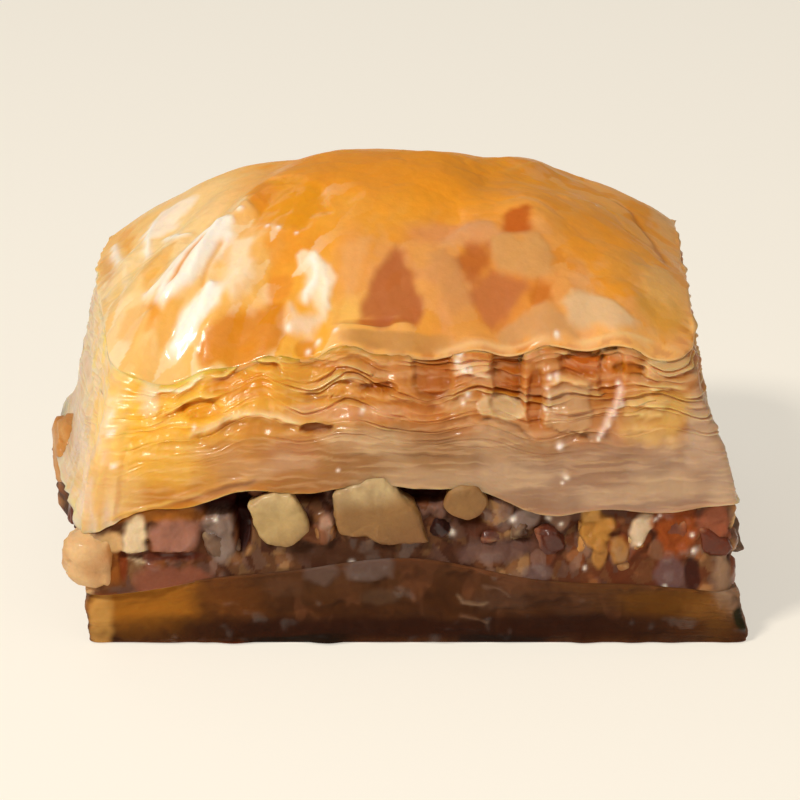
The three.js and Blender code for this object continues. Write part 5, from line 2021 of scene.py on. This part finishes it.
@dataclass(frozen=True)
class Lamp:
    """A soft square light that faces the piece."""

    name: str
    place: tuple[float, float, float]  # in metres
    size: float  # width of its face, in metres
    power: float  # watts
    paint: Colour

    def build(self) -> None:
        """Hangs the light and turns it to the piece."""
        data = bpy.data.lights.new(self.name, "AREA")
        data.size = self.size
        data.energy = self.power
        data.color = rgba(self.paint)[:3]
        light = bpy.data.objects.new(self.name, data)
        light.location = self.place
        towards = PIECE_MIDDLE - Vector(self.place)
        light.rotation_euler = towards.to_track_quat("-Z", "Y").to_euler()
        bpy.context.scene.collection.objects.link(light)


@dataclass
class Studio:
    """The pale floor, the soft lamps, the sky and the camera."""

    elevation: float = 19.9  # degrees
    distance: float = 220.0
    target: tuple[float, float, float] = (0.0, -20.0, 18.4)
    pixels_per_millimetre: float = 14.5
    image_width: int = 800
    film_width: float = 36.0
    floor_size: float = 3.0  # metres
    floor_paint: Colour = (178, 173, 163)
    floor_glow: Colour = (250, 243, 229)
    floor_glow_strength: float = 0.6
    sky_paint: Colour = (252, 246, 236)
    sky_strength: float = 0.25
    lamps: tuple[Lamp, ...] = (
        Lamp("key", (-0.21, -0.24, 0.36), 0.09, 1.75, (255, 247, 236)),
        Lamp("fill", (0.45, -0.5, 0.25), 0.5, 0.5, (255, 238, 220)),
        Lamp("back", (-0.25, 0.5, 0.5), 0.3, 0.25, (255, 250, 242)),
    )

    def build(self) -> None:
        """Makes the floor, the camera, the lamps and the sky."""
        self._floor()
        self._camera()
        for lamp in self.lamps:
            lamp.build()
        world = bpy.data.worlds.new("room")
        bpy.context.scene.world = world
        world.use_nodes = True
        background = world.node_tree.nodes["Background"]
        background.inputs["Color"].default_value = rgba(self.sky_paint)
        background.inputs["Strength"].default_value = self.sky_strength
        bpy.context.scene.view_settings.view_transform = "Standard"

    def _floor(self) -> None:
        """A large pale sheet under the piece."""
        deselect_all()
        bpy.ops.mesh.primitive_plane_add(size=self.floor_size)
        floor = bpy.context.object
        floor.name = "floor"
        shader = Shader("pale_floor")
        sockets = {
            "Base Color": rgba(self.floor_paint),
            "Roughness": 0.9,
            "Specular IOR Level": 0.1,
            "Emission Color": rgba(self.floor_glow),
            "Emission Strength": self.floor_glow_strength,
        }
        floor.data.materials.append(shader.finish(sockets))

    def _camera(self) -> None:
        """The camera, level with the horizon and looking down at the front face."""
        lens = self.pixels_per_millimetre * self.distance / self.image_width * self.film_width
        data = bpy.data.cameras.new("camera")
        data.sensor_width = self.film_width
        data.lens = lens
        data.clip_start = 0.01
        camera = bpy.data.objects.new("camera", data)
        tilt = math.radians(self.elevation)
        back = Vector((0, -math.cos(tilt), math.sin(tilt))) * self.distance * MILLIMETRE
        camera.location = Vector(to_frame(np.array(self.target))) + back
        camera.rotation_euler = (math.pi / 2 - tilt, 0, 0)
        bpy.context.scene.collection.objects.link(camera)
        bpy.context.scene.camera = camera


CRUST = GlazedCrust()


def main() -> None:
    """Builds the piece from the bottom up, then its surroundings."""
    logging.basicConfig(level=logging.INFO, format="%(message)s")
    Studio().build()
    SoakedBed().build()
    WalnutBand().build()
    LeafStack().build()
    CRUST.build()
    deselect_all()


if __name__ == "__main__":
    main()
